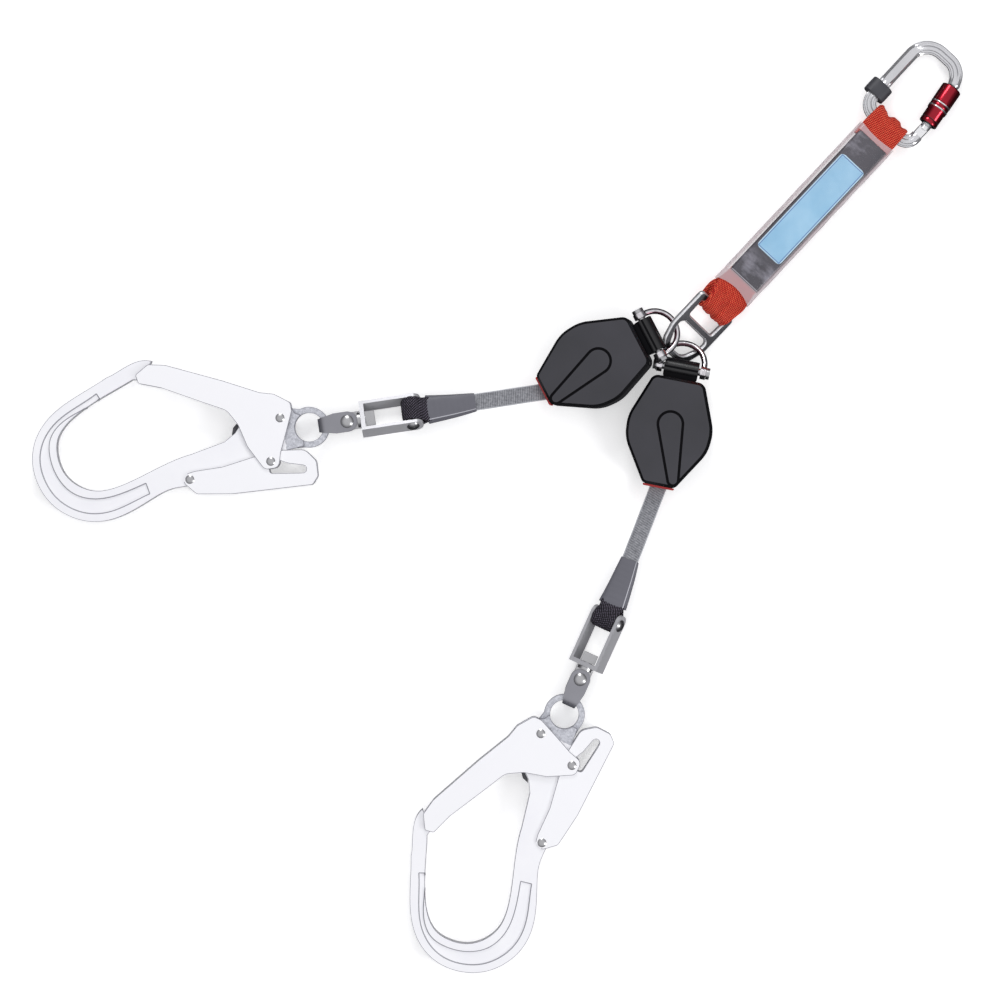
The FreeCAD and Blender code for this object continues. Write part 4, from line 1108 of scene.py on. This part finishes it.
# ---- link, shackles and reels -----------------------------------------
paint("connector_link", link_edge_highlight_look())
LEG_PIECES = {  # material and width of the softened edges
    "shackle_bolt": ("zinc", 0.35), "housing_screws": ("zinc", 0.2), "exit_guide": ("lip", 0.4),
    "spool": ("black", 0.3), "main_spring": ("spring", 0.1), "yoke": ("yoke", 0.7), "yoke_pin": ("zinc", 0.2),
    "swivel_eye": ("zinc", 0.5), "clevis": ("clevis", 0.4), "clevis_rivet": ("zinc", 0.2),
    "hook_rivets": ("zinc", 0.25), "lock_pin": ("zinc", 0.25), "hook_spring": ("spring", 0.1),
    "bumper": ("rubber", 0.4),
}
HOOK_PLATES = {  # body, width of the dark bevel of painted shade and of the painted shade outline beside it
    "hook_body": ("hook", 0.9, 0.42), "hook_gate": ("gate", 0.7, 0.45), "lock_lever": ("lever", 0.7, 0.45),
}
for side in LEGS:
    paint(side + "_shackle", shackle_reflection_look(side))
    for node, (mat, width) in LEG_PIECES.items():
        paint(side + "_" + node, MAT[mat])
        bevelled(NODES[side + "_" + node], width)
    rivets = rivet_corners(side)
    hook_up = joint_way(side + "_hook_swing")
    for node, (body, width, line) in HOOK_PLATES.items():
        name = side + "_" + node
        paint(name, hook_look(side) if node == "hook_body" else MAT["sheet"], MAT["edge"])
        # the bevel faces take the dark edge material and a dark strip is laid beside them: painted shade
        # along the edges and as an outline
        bevelled(NODES[name], width, edge_material=1)
        painted_shade_outlines(name, side + "_" + body, hook_up, line, MAT["line"], rivets)
    housing = housing_look(side)
    for node in ("front_shell", "back_shell"):
        paint(side + "_" + node, housing)
        bevelled(NODES[side + "_" + node], 0.4, 3)


# ---- leg ends ---------------------------------------------------------
TAPER_X = (13.0, 13.6, 20.0, 30.0, 52.0, 53.0)
TAPER_WIDE = (11.6, 11.8, 10.9, 9.7, 7.7, 7.5)
TAPER_THICK = (4.7, 4.9, 4.4, 3.7, 2.3, 2.1)
PIN_LOOP_R = 7.0
WEB_HALF = 2.6  # half the loop's thickness where its two plies lie flat together
STORED_TURNS, STORED_PITCH, STORED_START = 8.0, 2.1, 11.4


def end_sleeve(side):
    """Shrunk sleeve over the stitched strap end, with a raised light seam along its lower third."""
    place = LEGS[side]["strap"]
    rings, seam_at = [], (19, 20)
    for x in np.concatenate([np.linspace(12.9, 14.0, 4), np.linspace(15.0, 52.0, 36), [52.6, 53.0]]):
        w, t = (float(np.interp(x, TAPER_X, column)) for column in (TAPER_WIDE, TAPER_THICK))
        bulge = -0.9 * math.sin(min(1.0, (x - 13) / 40) * math.pi)
        ring = []
        for k in range(56):
            angle = 2 * math.pi * k / 56
            c, s = math.cos(angle), math.sin(angle)
            y = w * math.copysign(abs(c) ** 0.55, c)
            z = t * math.copysign(abs(s) ** 0.75, s)
            wrinkle = 0.22 * bumps(x * 0.7, y, z, 4.5)
            if c < 0:
                y -= bulge * c * 0.9
            ridge = 0.45 if k in seam_at else 0.0
            ring.append((x, y, z * (1 + 0.02 * math.sin(x * 1.3)) + (wrinkle + ridge) * math.copysign(1, s)))
        rings.append(ring)
    sleeve_obj = rings_object(side + "_shrunk_sleeve", rings, [MAT["shrink"], MAT["seam"]], place,
                              angle=50, columns=lambda j: 1 if j == seam_at[0] else 0)
    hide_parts(side + "_end_sleeve")
    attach(sleeve_obj, side + "_leg_end")


def pin_loop(side):
    """Black webbing folded round the yoke pin, turning flat as it enters the end sleeve."""
    leg = LEGS[side]
    yoke, strap = leg["yoke"], leg["strap"]
    flip = 1 if way_in(yoke, 0, 1, 0).dot(way_in(strap, 0, 1, 0)) > 0 else -1
    flip_z = 1 if way_in(yoke, 0, 0, 1).dot(way_in(strap, 0, 0, 1)) > 0 else -1
    radius = PIN_LOOP_R
    path = [(17.0 - 11.0 * i / 10, WEB_HALF + (radius - WEB_HALF) * (i / 10) ** 1.1) for i in range(10)]
    path += [(radius * math.sin(a), radius * math.cos(a)) for a in np.linspace(0.35, -math.pi - 0.35, 30)]
    path += [(x, -z) for x, z in reversed(path[:10])]

    def place(across, back, z, share):
        near = yoke @ Vector((-back, across, z))
        far = strap @ Vector((back, across * flip * 0.93, z * flip_z))
        return near.lerp(far, smooth((back - 3.5) / 9.5))

    def lift(a, share, x, y, z):
        return 0.18 * math.sin(a * 24) + 0.3 * bumps(x * 0.5, y, z, 5)

    def width(share):
        return 21.2 + 0.5 * math.sin(share * 31)

    loop = webbing_band(side + "_pin_webbing", path, width, lift, place, MAT["black_loop"],
                        side + "_leg_end", "black_webbing", across_steps=44)
    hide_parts(side + "_webbing_loop")


def wound_web(side):
    """The strap's stored turns, seen only when the housing is opened."""
    place = LEGS[side]["reel"] @ Matrix.Translation((50.0, 0, 0))
    rings, uvs, travelled = [], [], 0.0
    last = None
    for angle in np.arange(0, 2 * math.pi * STORED_TURNS, 0.16):
        radius = STORED_START + STORED_PITCH * angle / (2 * math.pi)
        here = (radius * math.cos(angle), radius * math.sin(angle))
        travelled += math.dist(last, here) if last else 0.0
        last = here
        ring = []
        for out, z in ((-0.9, -6.9), (0.9, -6.9), (0.9, 0.0), (0.9, 6.9), (-0.9, 6.9), (-0.9, 0.0)):
            ring.append(((radius + out) * math.cos(angle), (radius + out) * math.sin(angle), z))
            uvs.append((z * MM, travelled * MM))
        rings.append(ring)
    web = rings_object(side + "_stored_web", rings, [MAT["grey_strap"]], place, uvs=uvs, angle=50)
    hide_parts(side + "_wound_webbing")
    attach(web, side + "_spool_set")


for side in LEGS:
    end_sleeve(side)
    pin_loop(side)
    wound_web(side)


# ---- floor ------------------------------------------------------------
def floor():
    """Plain pale ground that stays out of the metal's reflections."""
    bm = bmesh.new()
    bmesh.ops.create_grid(bm, x_segments=1, y_segments=1, size=6.0)
    mesh = bpy.data.meshes.new("floor")
    bm.to_mesh(mesh)
    bm.free()
    obj = new_object("floor", mesh)
    look = Shader("floor_look", (0.80, 0.80, 0.80), 0.9, Specular_IOR_Level=0.0, Emission_Color=(1, 1, 1, 1),
                  Emission_Strength=0.44)
    mesh.materials.append(look.mat)
    obj.visible_glossy = False


floor()
